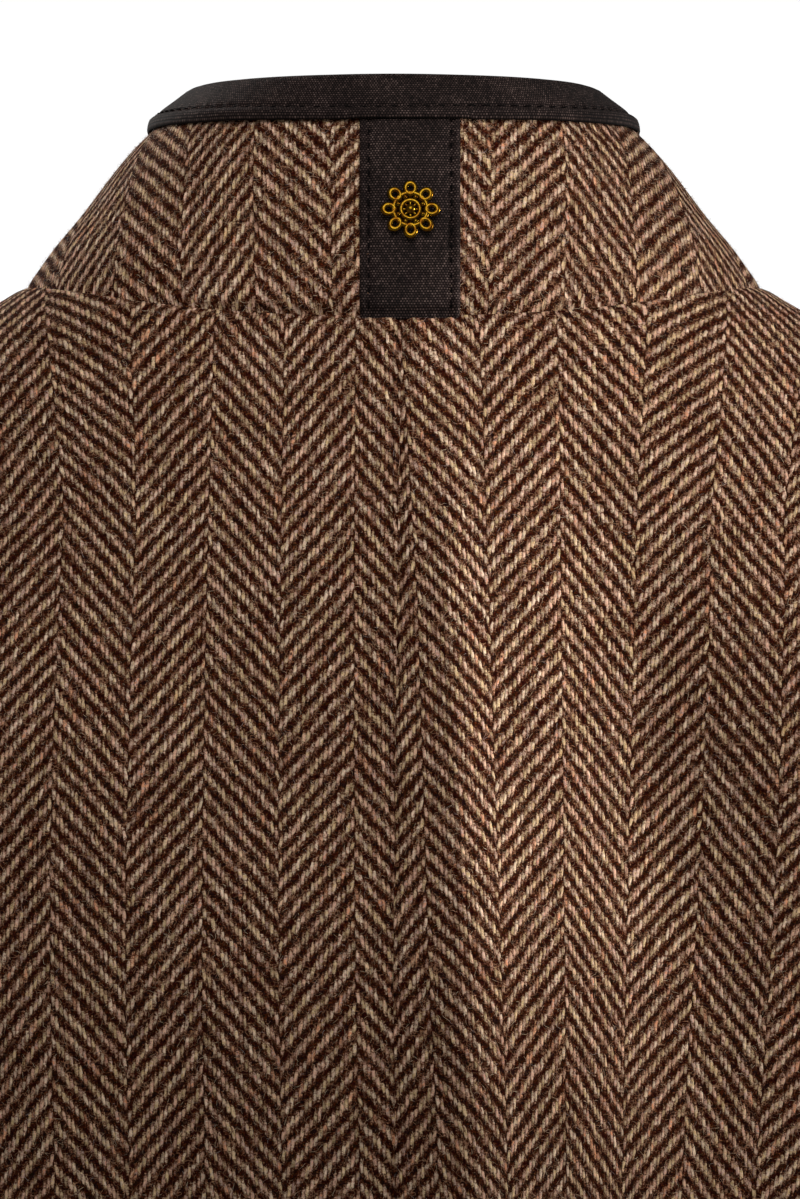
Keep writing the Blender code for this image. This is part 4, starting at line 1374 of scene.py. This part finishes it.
def inset_stitches(outer, normal, gap, inset, axis):
    """The places of a row of stitches that keeps an inset from a panel's edge."""
    path = line_at(outer, gap, inset, axis)
    return stitch_places(path, line_at(normal, gap, inset, axis), EDGE_STITCH_PITCH)


# A length of thread in rings: each one's place along it, in lengths, and its lift and thickness, in radii
THREAD_SIDES = 6
THREAD_RINGS = ((-0.5, -0.9, 0.55), (-0.28, 0.25, 1.0), (0.0, 0.5, 1.0), (0.28, 0.25, 1.0), (0.5, -0.9, 0.55))


def thread_bars(name, places, length, radius, material):
    """Many short lengths of thread, each humped up off the cloth and sunk at its ends, as one mesh."""
    middle, along, out = places
    sideways = unit(np.cross(out, along))
    turns = np.linspace(0, math.tau, THREAD_SIDES, endpoint=False)
    points, uv = [], []
    for place, lift, thick in THREAD_RINGS:
        for turn in turns:
            point = middle + along * place * length + sideways * radius * thick * math.cos(turn)
            points.append(point + out * radius * (lift + thick * math.sin(turn)))
            uv.append((place + 0.5, turn / math.tau))
    points = np.stack(points, axis=1)
    rings = len(THREAD_RINGS)
    faces = []
    for ring in range(rings - 1):
        for turn in range(THREAD_SIDES):
            following = (turn + 1) % THREAD_SIDES
            a, b = ring * THREAD_SIDES, (ring + 1) * THREAD_SIDES
            faces.append((a + turn, a + following, b + following, b + turn))
    faces.append(tuple(range(THREAD_SIDES))[::-1])
    faces.append(tuple((rings - 1) * THREAD_SIDES + turn for turn in range(THREAD_SIDES)))
    each = rings * THREAD_SIDES
    count = len(middle)
    all_faces = [tuple(i * each + corner for corner in face) for i in range(count) for face in faces]
    all_uv = np.tile(np.array(uv), (count, 1))
    new_piece(name, mesh_from(name, points, all_faces, all_uv), material)


# The nap: fibres on each piece, the ranges they are drawn from, and where each one's middle and tip lie
NAP_FIBRES = {"back_left": 42000, "back_right": 42000, "front_left": 22000, "front_right": 22000}
COLLAR_FIBRES = 20000
NAP_LENGTH = (0.9, 3.0)
NAP_WIDTH = (0.022, 0.045)
NAP_STAND = (0.05, 0.55)
NAP_STAND_POWER = 1.5
NAP_BEND = (-0.7, 0.7)
NAP_ROOT_DEPTH = 0.1 * MM
NAP_MIDDLE_LIFT = 0.12 * MM
NAP_MIDDLE = SimpleNamespace(along=0.5, stand=0.55)
NAP_TIP = SimpleNamespace(along=0.85, bend=0.5, stand=0.8)


def nap(name, outer, normal, count, material):
    """Loose fibres lying over a panel's face: thin bent slivers, some standing up a little."""
    corners = [outer[:-1, :-1], outer[:-1, 1:], outer[1:, :-1]]
    area = np.linalg.norm(np.cross(corners[1] - corners[0], corners[2] - corners[0]), axis=-1)
    cell = RANDOM.choice(area.size, count, p=(area / area.sum()).ravel())
    row, column = np.unravel_index(cell, area.shape)
    s, t = RANDOM.random((2, count, 1))
    side_way = outer[row, column + 1] - outer[row, column]
    up_way = outer[row + 1, column] - outer[row, column]
    root = outer[row, column] + side_way * s + up_way * t
    out = normal[row, column]
    each = (count, 1)
    turn = RANDOM.uniform(0, math.tau, each)
    flat_way = unit(side_way) * np.cos(turn) + unit(up_way) * np.sin(turn)
    length = RANDOM.uniform(*NAP_LENGTH, each) * MM
    stand = RANDOM.uniform(*NAP_STAND, each) ** NAP_STAND_POWER
    bend = RANDOM.uniform(*NAP_BEND, each)
    sideways = unit(np.cross(out, flat_way))
    half_width = sideways * RANDOM.uniform(*NAP_WIDTH, each) * MM
    middle = root + flat_way * length * NAP_MIDDLE.along
    middle = middle + out * (length * stand * NAP_MIDDLE.stand + NAP_MIDDLE_LIFT)
    tip = root + flat_way * length * NAP_TIP.along + sideways * length * bend * NAP_TIP.bend
    tip = tip + out * length * stand * NAP_TIP.stand
    root = root - out * NAP_ROOT_DEPTH
    sliver = [root - half_width, root + half_width, middle + half_width, middle - half_width, tip]
    points = np.stack(sliver, axis=1)
    starts = np.arange(count)[:, None] * len(sliver)
    quads = (starts + np.array([0, 1, 2, 3])).tolist()
    tips = (starts + np.array([3, 2, 4])).tolist()
    tint = np.repeat(RANDOM.random(each), len(sliver), axis=1)
    uv = np.stack([tint, tint], axis=-1)
    new_piece(name, mesh_from(name, points, quads + tips, uv), material)


# Hard pieces
ROSETTE_SMOOTH = math.radians(40)
BUTTON_SMOOTH = math.radians(35)


def select_none():
    bpy.ops.object.select_all(action="DESELECT")


def joined(name, pieces, material):
    """Joins modelled pieces into one, with its place in its mesh."""
    select_none()
    for piece in pieces:
        piece.select_set(True)
    bpy.context.view_layer.objects.active = pieces[0]
    bpy.ops.object.join()
    bpy.ops.object.transform_apply(location=True, rotation=True, scale=True)
    bpy.ops.object.shade_smooth_by_angle(angle=ROSETTE_SMOOTH)
    whole = bpy.context.object
    whole.name = name
    whole.data.name = name
    whole.data.materials.clear()
    whole.data.materials.append(material)
    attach(whole, "root")
    return whole


def seat_matrix(point, normal):
    """Stands a piece's own +Z along the normal, with its +Y as near up as that allows."""
    z = Vector(normal).normalized()
    x = Vector((0, 0, 1)).cross(z).normalized()
    turn = Matrix((x, z.cross(x), z)).transposed().to_4x4()
    return Matrix.Translation(Vector(point)) @ turn


# The rosette, with segments round a ring and round its wire, or round a ball and up it
ROSETTE_RINGS = {"outer": (4.25 * MM, 0.74 * MM), "inner": (2.35 * MM, 0.70 * MM)}
RING_SEGMENTS = (64, 14)
PETALS = 8
PETAL_RING = 5.35 * MM
PETAL_RADIUS = 1.20 * MM
PETAL_WIRE = 0.68 * MM
PETAL_STRETCH = 1.18
PETAL_LIFT = 0.1 * MM
PETAL_SEGMENTS = (28, 10)
BEAD_RING = 3.35 * MM
BEAD_RADIUS = 0.72 * MM
BEAD_LIFT = 0.25 * MM
BEAD_SEGMENTS = (18, 10)
BOSS_RADIUS = 1.35 * MM
BOSS_LIFT = 0.1 * MM
BOSS_SEGMENTS = (24, 14)
SPOKE_RADIUS = 0.42 * MM
SPOKE_SIDES = 10
ROSETTE_STAND = 1.9 * MM
POST_RADIUS = 0.7 * MM
POST_SIDES = 12


def wire_ring(radius, wire, segments):
    bpy.ops.mesh.primitive_torus_add(
        major_radius=radius, minor_radius=wire, major_segments=segments[0], minor_segments=segments[1]
    )


def ball(radius, segments):
    bpy.ops.mesh.primitive_uv_sphere_add(radius=radius, segments=segments[0], ring_count=segments[1])


def rosette(material):
    """A gilt openwork rosette: two rings, petal loops round them, beads, a boss on spokes and two posts."""
    low = COLLAR_AT["neck"] + SEAM_GAP
    high = COLLAR_AT["edge"] - (BINDING_LEG + SEAM_GAP) * collar_slant()
    at = np.array(low + (high - low) * (1 - ROSETTE_UP_COLLAR))
    angle = angle_across(at, TAB_CENTRE)
    normal = outward(collar_point, angle, at)
    point = collar_point(angle, at) + normal * (SEAM_GAP + TRIM + ROSETTE_STAND)
    seat = seat_matrix(point, normal)
    outer_radius, inner_radius = (radius for radius, _ in ROSETTE_RINGS.values())
    made = []

    def keep(turn=0.0, out=0.0, stretch=1.0, lift=0.0):
        """Seats the piece just made: stretched, lifted, moved out and turned round the rosette."""
        piece = bpy.context.object
        shape = Matrix.Rotation(turn, 4, "Z") @ Matrix.Translation((out, 0, lift))
        piece.matrix_world = seat @ shape @ piece.matrix_world @ Matrix.Diagonal((stretch, 1, 1, 1))
        made.append(piece)

    select_none()
    for radius, wire in ROSETTE_RINGS.values():
        wire_ring(radius, wire, RING_SEGMENTS)
        keep()
    for petal in range(PETALS):
        turn = math.tau * petal / PETALS
        wire_ring(PETAL_RADIUS, PETAL_WIRE, PETAL_SEGMENTS)
        keep(turn, PETAL_RING, PETAL_STRETCH, PETAL_LIFT)
        ball(BEAD_RADIUS, BEAD_SEGMENTS)
        keep(turn + math.pi / PETALS, BEAD_RING, lift=BEAD_LIFT)
        bpy.ops.mesh.primitive_cylinder_add(
            radius=SPOKE_RADIUS, depth=inner_radius, vertices=SPOKE_SIDES, rotation=(0, math.pi / 2, 0)
        )
        keep(turn, inner_radius / 2)
    ball(BOSS_RADIUS, BOSS_SEGMENTS)
    keep(lift=BOSS_LIFT)
    for end in (0, math.pi):
        bpy.ops.mesh.primitive_cylinder_add(radius=POST_RADIUS, depth=ROSETTE_STAND, vertices=POST_SIDES)
        keep(end, outer_radius, lift=-ROSETTE_STAND / 2)
    piece = joined("collar_rosette_gilt", made, material)
    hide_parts("collar_rosette")


def place_at_height(height):
    """The place up the body at which centre front has this height."""
    return halved(BODY_AT["hem"], BODY_AT["neck"], lambda at: body_point(CENTRE_FRONT, at)[2] < height)


def button_seats():
    """Each button's place on the upper front, and the way out there."""
    highest, lowest = -NECK_FRONT_DROP - BUTTON_TOP_DROP, -HEM_DROP + BUTTON_BOTTOM_RISE
    angle = np.array(-CENTRE_FRONT)
    for height in np.linspace(highest, lowest, BUTTON_COUNT):
        at = place_at_height(height)
        normal = outward(body_point, angle, at)
        yield body_point(angle, at) + normal * LAP_LIFT, normal


def select_faces(data, test):
    """Selects the faces that pass a test, in edit mode, and nothing else."""
    bpy.ops.object.mode_set(mode="OBJECT")
    for face in data.polygons:
        face.select = test(face)
    for edge in data.edges:
        edge.select = False
    for vert in data.vertices:
        vert.select = False
    for face in data.polygons:
        if face.select:
            for corner in face.vertices:
                data.vertices[corner].select = True
    bpy.ops.object.mode_set(mode="EDIT")


# The button's turning: insets from its rim in to its dish, how deep each goes, and its rounded edges
FACING_UP = 0.9
BUTTON_SIDES = 64
BUTTON_RIM = 2.0 * MM
BUTTON_SLOPE = 1.0 * MM
BUTTON_SLOPE_DEPTH = 0.7 * MM
BUTTON_DISH = 1.2 * MM
BUTTON_DISH_DEPTH = 0.4 * MM
BUTTON_BEVEL = 0.75 * MM
BUTTON_BEVEL_SEGMENTS = 4
BUTTON_BEVEL_ANGLE = math.radians(25)
BUTTON_HOLE_SIDES = 20


def make_active(piece):
    select_none()
    piece.select_set(True)
    bpy.context.view_layer.objects.active = piece


def horn_button():
    """One turned button: a bevelled disc, its top inset for a rim and sunk for a dish, with four holes."""
    select_none()
    bpy.ops.mesh.primitive_cylinder_add(
        radius=BUTTON_RADIUS,
        depth=BUTTON_THICKNESS,
        vertices=BUTTON_SIDES,
        location=(0, 0, BUTTON_THICKNESS / 2),
    )
    button = bpy.context.object
    bpy.ops.object.transform_apply(location=True)
    bpy.ops.object.mode_set(mode="EDIT")
    bpy.ops.mesh.select_mode(type="FACE")
    select_faces(button.data, lambda face: face.normal.z > FACING_UP)
    bpy.ops.mesh.inset(thickness=BUTTON_RIM, depth=0)
    bpy.ops.mesh.inset(thickness=BUTTON_SLOPE, depth=-BUTTON_SLOPE_DEPTH)
    bpy.ops.mesh.inset(thickness=BUTTON_DISH, depth=-BUTTON_DISH_DEPTH)
    bpy.ops.object.mode_set(mode="OBJECT")
    make_active(button)
    bevel = button.modifiers.new("round", "BEVEL")
    bevel.width = BUTTON_BEVEL
    bevel.segments = BUTTON_BEVEL_SEGMENTS
    bevel.limit_method = "ANGLE"
    bevel.angle_limit = BUTTON_BEVEL_ANGLE
    bpy.ops.object.modifier_apply(modifier=bevel.name)
    for quarter in range(4):
        turn = math.pi / 4 + quarter * math.pi / 2
        across, up = BUTTON_HOLE_RING * math.cos(turn), BUTTON_HOLE_RING * math.sin(turn)
        select_none()
        bpy.ops.mesh.primitive_cylinder_add(
            radius=BUTTON_HOLE_RADIUS,
            depth=3 * BUTTON_THICKNESS,
            vertices=BUTTON_HOLE_SIDES,
            location=(across, up, BUTTON_THICKNESS / 2),
        )
        pin = bpy.context.object
        make_active(button)
        hole = button.modifiers.new("hole", "BOOLEAN")
        hole.object = pin
        bpy.ops.object.modifier_apply(modifier=hole.name)
        bpy.data.objects.remove(pin)
    bpy.ops.object.shade_smooth_by_angle(angle=BUTTON_SMOOTH)
    return button


# The buttons' thread: its depth in the dish, its strands' way off a row and their length past the holes
BUTTON_THREAD_DEPTH = 1.0 * MM
BUTTON_STRAND = 0.35 * MM
BUTTON_THREAD_PAST = 1.4 * MM
BUTTON_THREAD_RADIUS = 0.36 * MM


def buttons(material, thread):
    """The five buttons, each a copy with its place in its mesh, and their thread through the holes."""
    pattern = horn_button()
    half = BUTTON_HOLE_RING / math.sqrt(2)
    strands = []
    for i, (point, normal) in enumerate(button_seats()):
        seat = seat_matrix(point + normal * BUTTON_SHANK, normal)
        data = pattern.data.copy()
        data.transform(seat)
        piece = new_piece(f"horn_button_{i + 1}", data, material)
        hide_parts(f"button_{i + 1}")
        x, y = np.array(seat.col[0].xyz), np.array(seat.col[1].xyz)
        top = point + normal * (BUTTON_SHANK + BUTTON_THICKNESS - BUTTON_THREAD_DEPTH)
        for row in (-half, half):
            for strand in (-BUTTON_STRAND, BUTTON_STRAND):
                strands.append((top + y * (row + strand), x, normal))
    bpy.data.objects.remove(pattern)
    places = [np.array(values) for values in zip(*strands)]
    length = 2 * half + BUTTON_THREAD_PAST
    thread_bars("button_thread", places, length, BUTTON_THREAD_RADIUS, thread)


# A buttonhole, from just past its button's middle, and its stitches, which lie off the slit by a lip
BUTTONHOLE_LENGTH = 24 * MM
BUTTONHOLE_START = -3 * MM
BUTTONHOLE_STITCH = 2.0 * MM
BUTTONHOLE_PITCH = 0.62 * MM
BUTTONHOLE_LIP = 1.15 * MM
BUTTONHOLE_LIFT = 0.15 * MM
BUTTONHOLE_THREAD_RADIUS = 0.33 * MM


def buttonholes(thread):
    """Worked buttonholes in the upper front: close stitches across both lips of each slit."""
    stitches = []
    for point, _ in button_seats():
        at = place_at_height(point[2])
        for lip in (-BUTTONHOLE_LIP, BUTTONHOLE_LIP):
            for step in np.arange(0, BUTTONHOLE_LENGTH, BUTTONHOLE_PITCH):
                angle = -CENTRE_FRONT + (BUTTONHOLE_START + step) / np.linalg.norm(point[:2])
                here = body_point(angle, at)
                out = outward(body_point, angle, at)
                lifted = lap_lift(np.array(angle), here, LAP_LIFT)
                up = unit(np.array((0, 0, 1.0)) - out * out[2])
                stitches.append((here + out * (lifted + BUTTONHOLE_LIFT) + up * lip, up, out))
    places = [np.array(values) for values in zip(*stitches)]
    thread_bars("buttonhole_stitches", places, BUTTONHOLE_STITCH, BUTTONHOLE_THREAD_RADIUS, thread)


# Putting it together


def sewing(panels, tab, binding, brown, dark):
    """Rows of stitching along the armholes, hem, lap, tab and binding."""
    rows = []
    for cloth in panels:
        armhole = (cloth.rows >= UNDERARM_ROW) & (cloth.rows <= TIP_ROW)
        gap = cloth.gap[cloth.armhole_side][armhole]
        rows.append(inset_stitches(cloth.outer[armhole], cloth.normal[armhole], gap, EDGE_STITCH_INSET, 1))
        rows.append(inset_stitches(cloth.outer, cloth.normal, cloth.gap["hem"], HEM_STITCH_INSET, 0))
        if cloth.name == "front_right":
            gap = cloth.gap[cloth.centre_side]
            rows.append(inset_stitches(cloth.outer, cloth.normal, gap, EDGE_STITCH_INSET, 1))
    places = [np.concatenate(values) for values in zip(*rows)]
    thread_bars("edge_stitches", places, EDGE_STITCH_LENGTH, EDGE_THREAD_RADIUS, brown)
    rows = []
    for column in tab.stitch_columns:
        path, out = tab.outer[TAB_TUCK_ROWS:, column], tab.normal[TAB_TUCK_ROWS:, column]
        rows.append(stitch_places(path, out, TAB_STITCH_PITCH))
    line = binding.outer[binding.stitch_row]
    rows.append(stitch_places(line, unit(line * np.array([1, 1, 0])), BINDING_STITCH_PITCH))
    places = [np.concatenate(values) for values in zip(*rows)]
    thread_bars("trim_stitches", places, TRIM_STITCH_LENGTH, TRIM_THREAD_RADIUS, dark)


# Studio light: watts, with sizes in metres
WARM = (1.0, 0.97, 0.93)
PALE = (1.0, 0.99, 0.98)
BEAM_ANGLE = math.radians(6.4)
Lamp = namedtuple("Lamp", "kind place aim size power colour")
LAMPS = {
    "key": Lamp("SPOT", (-2.55, 0.18, -0.1), (-0.05, 0.10, -0.1), 0.12, 700.0, WARM),
    "fill": Lamp("AREA", (-0.02, 0.3275, 0.1475), (0.0, 0.08, -0.1), 0.2, 0.75, PALE),
    "front_key": Lamp("AREA", (1.6, -1.8, 1.0), (0.0, 0.0, -0.2), 1.2, 50.0, WARM),
    "front_fill": Lamp("AREA", (-1.8, -1.5, 0.3), (0.0, 0.0, -0.2), 1.6, 14.0, PALE),
}
BACKDROP = (1.0, 1.0, 1.0, 1.0)
BACKDROP_LIGHT = 0.145
BACKDROP_SEEN = 0.875
FLOOR_Z = -HEM_DROP - 3 * MM
FLOOR_SIZE = 9.0


def lights():
    """A narrow beam raking from the back's right, a small fill above it, and a wash on the front."""
    for name, row in LAMPS.items():
        data = bpy.data.lights.new(name, row.kind)
        data.energy = row.power
        data.color = row.colour
        if row.kind == "SPOT":
            data.shadow_soft_size = row.size
            data.spot_size = BEAM_ANGLE
            data.spot_blend = 1.0
        else:
            data.size = row.size
        lamp = bpy.data.objects.new(name, data)
        lamp.location = row.place
        lamp.visible_camera = False
        lamp.rotation_euler = (Vector(row.aim) - Vector(row.place)).to_track_quat("-Z", "Y").to_euler()
        bpy.context.scene.collection.objects.link(lamp)


def surroundings():
    """A white backdrop for the camera, dimmer as light, and a pale floor below the hem."""
    world = bpy.data.worlds.new("studio")
    bpy.context.scene.world = world
    world.use_nodes = True
    tree = world.node_tree
    seen = Wire(tree).node("ShaderNodeLightPath", output="Is Camera Ray")
    background = tree.nodes["Background"]
    background.inputs["Color"].default_value = BACKDROP
    strength = BACKDROP_LIGHT + seen * BACKDROP_SEEN
    tree.links.new(strength.socket, background.inputs["Strength"])
    select_none()
    bpy.ops.mesh.primitive_plane_add(size=FLOOR_SIZE, location=(0, 0, FLOOR_Z))
    floor = bpy.context.object
    floor.name = "floor"
    bpy.ops.object.transform_apply(location=True)
    floor.data.materials.append(floor_paint())
    floor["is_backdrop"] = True


# The camera: where it stands round and below the vest, how far off, the height it frames and where it aims
VIEW_TURN = math.radians(0.0)
VIEW_RISE = math.radians(-5.0)
VIEW_DISTANCE = 3.0
VIEW_HEIGHT = 0.3057
VIEW_END = 50.0
AIM_ACROSS = -1.63 * MM
AIM_DOWN = 78.9 * MM
SENSOR = 36.0


def camera():
    """Behind the vest and a little below it, framed as a close-up of the collar and upper back."""
    level = math.cos(VIEW_RISE)
    towards = Vector((math.sin(VIEW_TURN) * level, math.cos(VIEW_TURN) * level, math.sin(VIEW_RISE)))
    turn = towards.to_track_quat("Z", "Y").to_matrix()
    aim = turn @ Vector((-AIM_ACROSS, -AIM_DOWN, 0))
    data = bpy.data.cameras.new("camera")
    data.sensor_fit = "VERTICAL"
    data.sensor_height = SENSOR
    data.lens = SENSOR * VIEW_DISTANCE / VIEW_HEIGHT
    data.clip_end = VIEW_END
    view = bpy.data.objects.new("camera", data)
    view.location = aim + towards * VIEW_DISTANCE
    view.rotation_euler = turn.to_euler()
    bpy.context.scene.collection.objects.link(view)
    bpy.context.scene.camera = view


def main():
    camera()
    surroundings()
    lights()
    bpy.context.scene.view_settings.view_transform = "Standard"
    tweed, cotton, fibre = tweed_weave(), cotton_weave(), wool_fibre()
    brown = sewing_thread("brown_thread", *BROWN_THREAD)
    dark = sewing_thread("dark_thread", *DARK_THREAD)
    panels = [
        panel("back_left", back_edges, LEFT),
        panel("back_right", back_edges, RIGHT),
        panel("front_left", front_edges, LEFT),
        panel("front_right", front_edges, RIGHT, LAP_LIFT),
    ]
    for cloth in panels:
        uv = laid(cloth.flat, LAYS[cloth.name])
        piece = shell(f"{cloth.name}_cloth", cloth.outer, cloth.inner, uv, tweed)
        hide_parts(cloth.name)
        size, area = flat_cut(cloth.flat)
        nap(f"{cloth.name}_nap", cloth.outer, cloth.normal, NAP_FIBRES[cloth.name], fibre)
    collar = collar_stand(tweed)
    nap("collar_nap", collar.outer, collar.normal, COLLAR_FIBRES, fibre)
    binding = collar_binding(cotton)
    tab = collar_tab(cotton)
    sewing(panels, tab, binding, brown, dark)
    rosette(gilt_metal())
    buttons(polished_horn(), brown)
    buttonholes(brown)


main()
boxes = {"cad": CAD_BOX, "visual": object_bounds()}
{name: [list(corner) for corner in box] for name, box in boxes.items()}
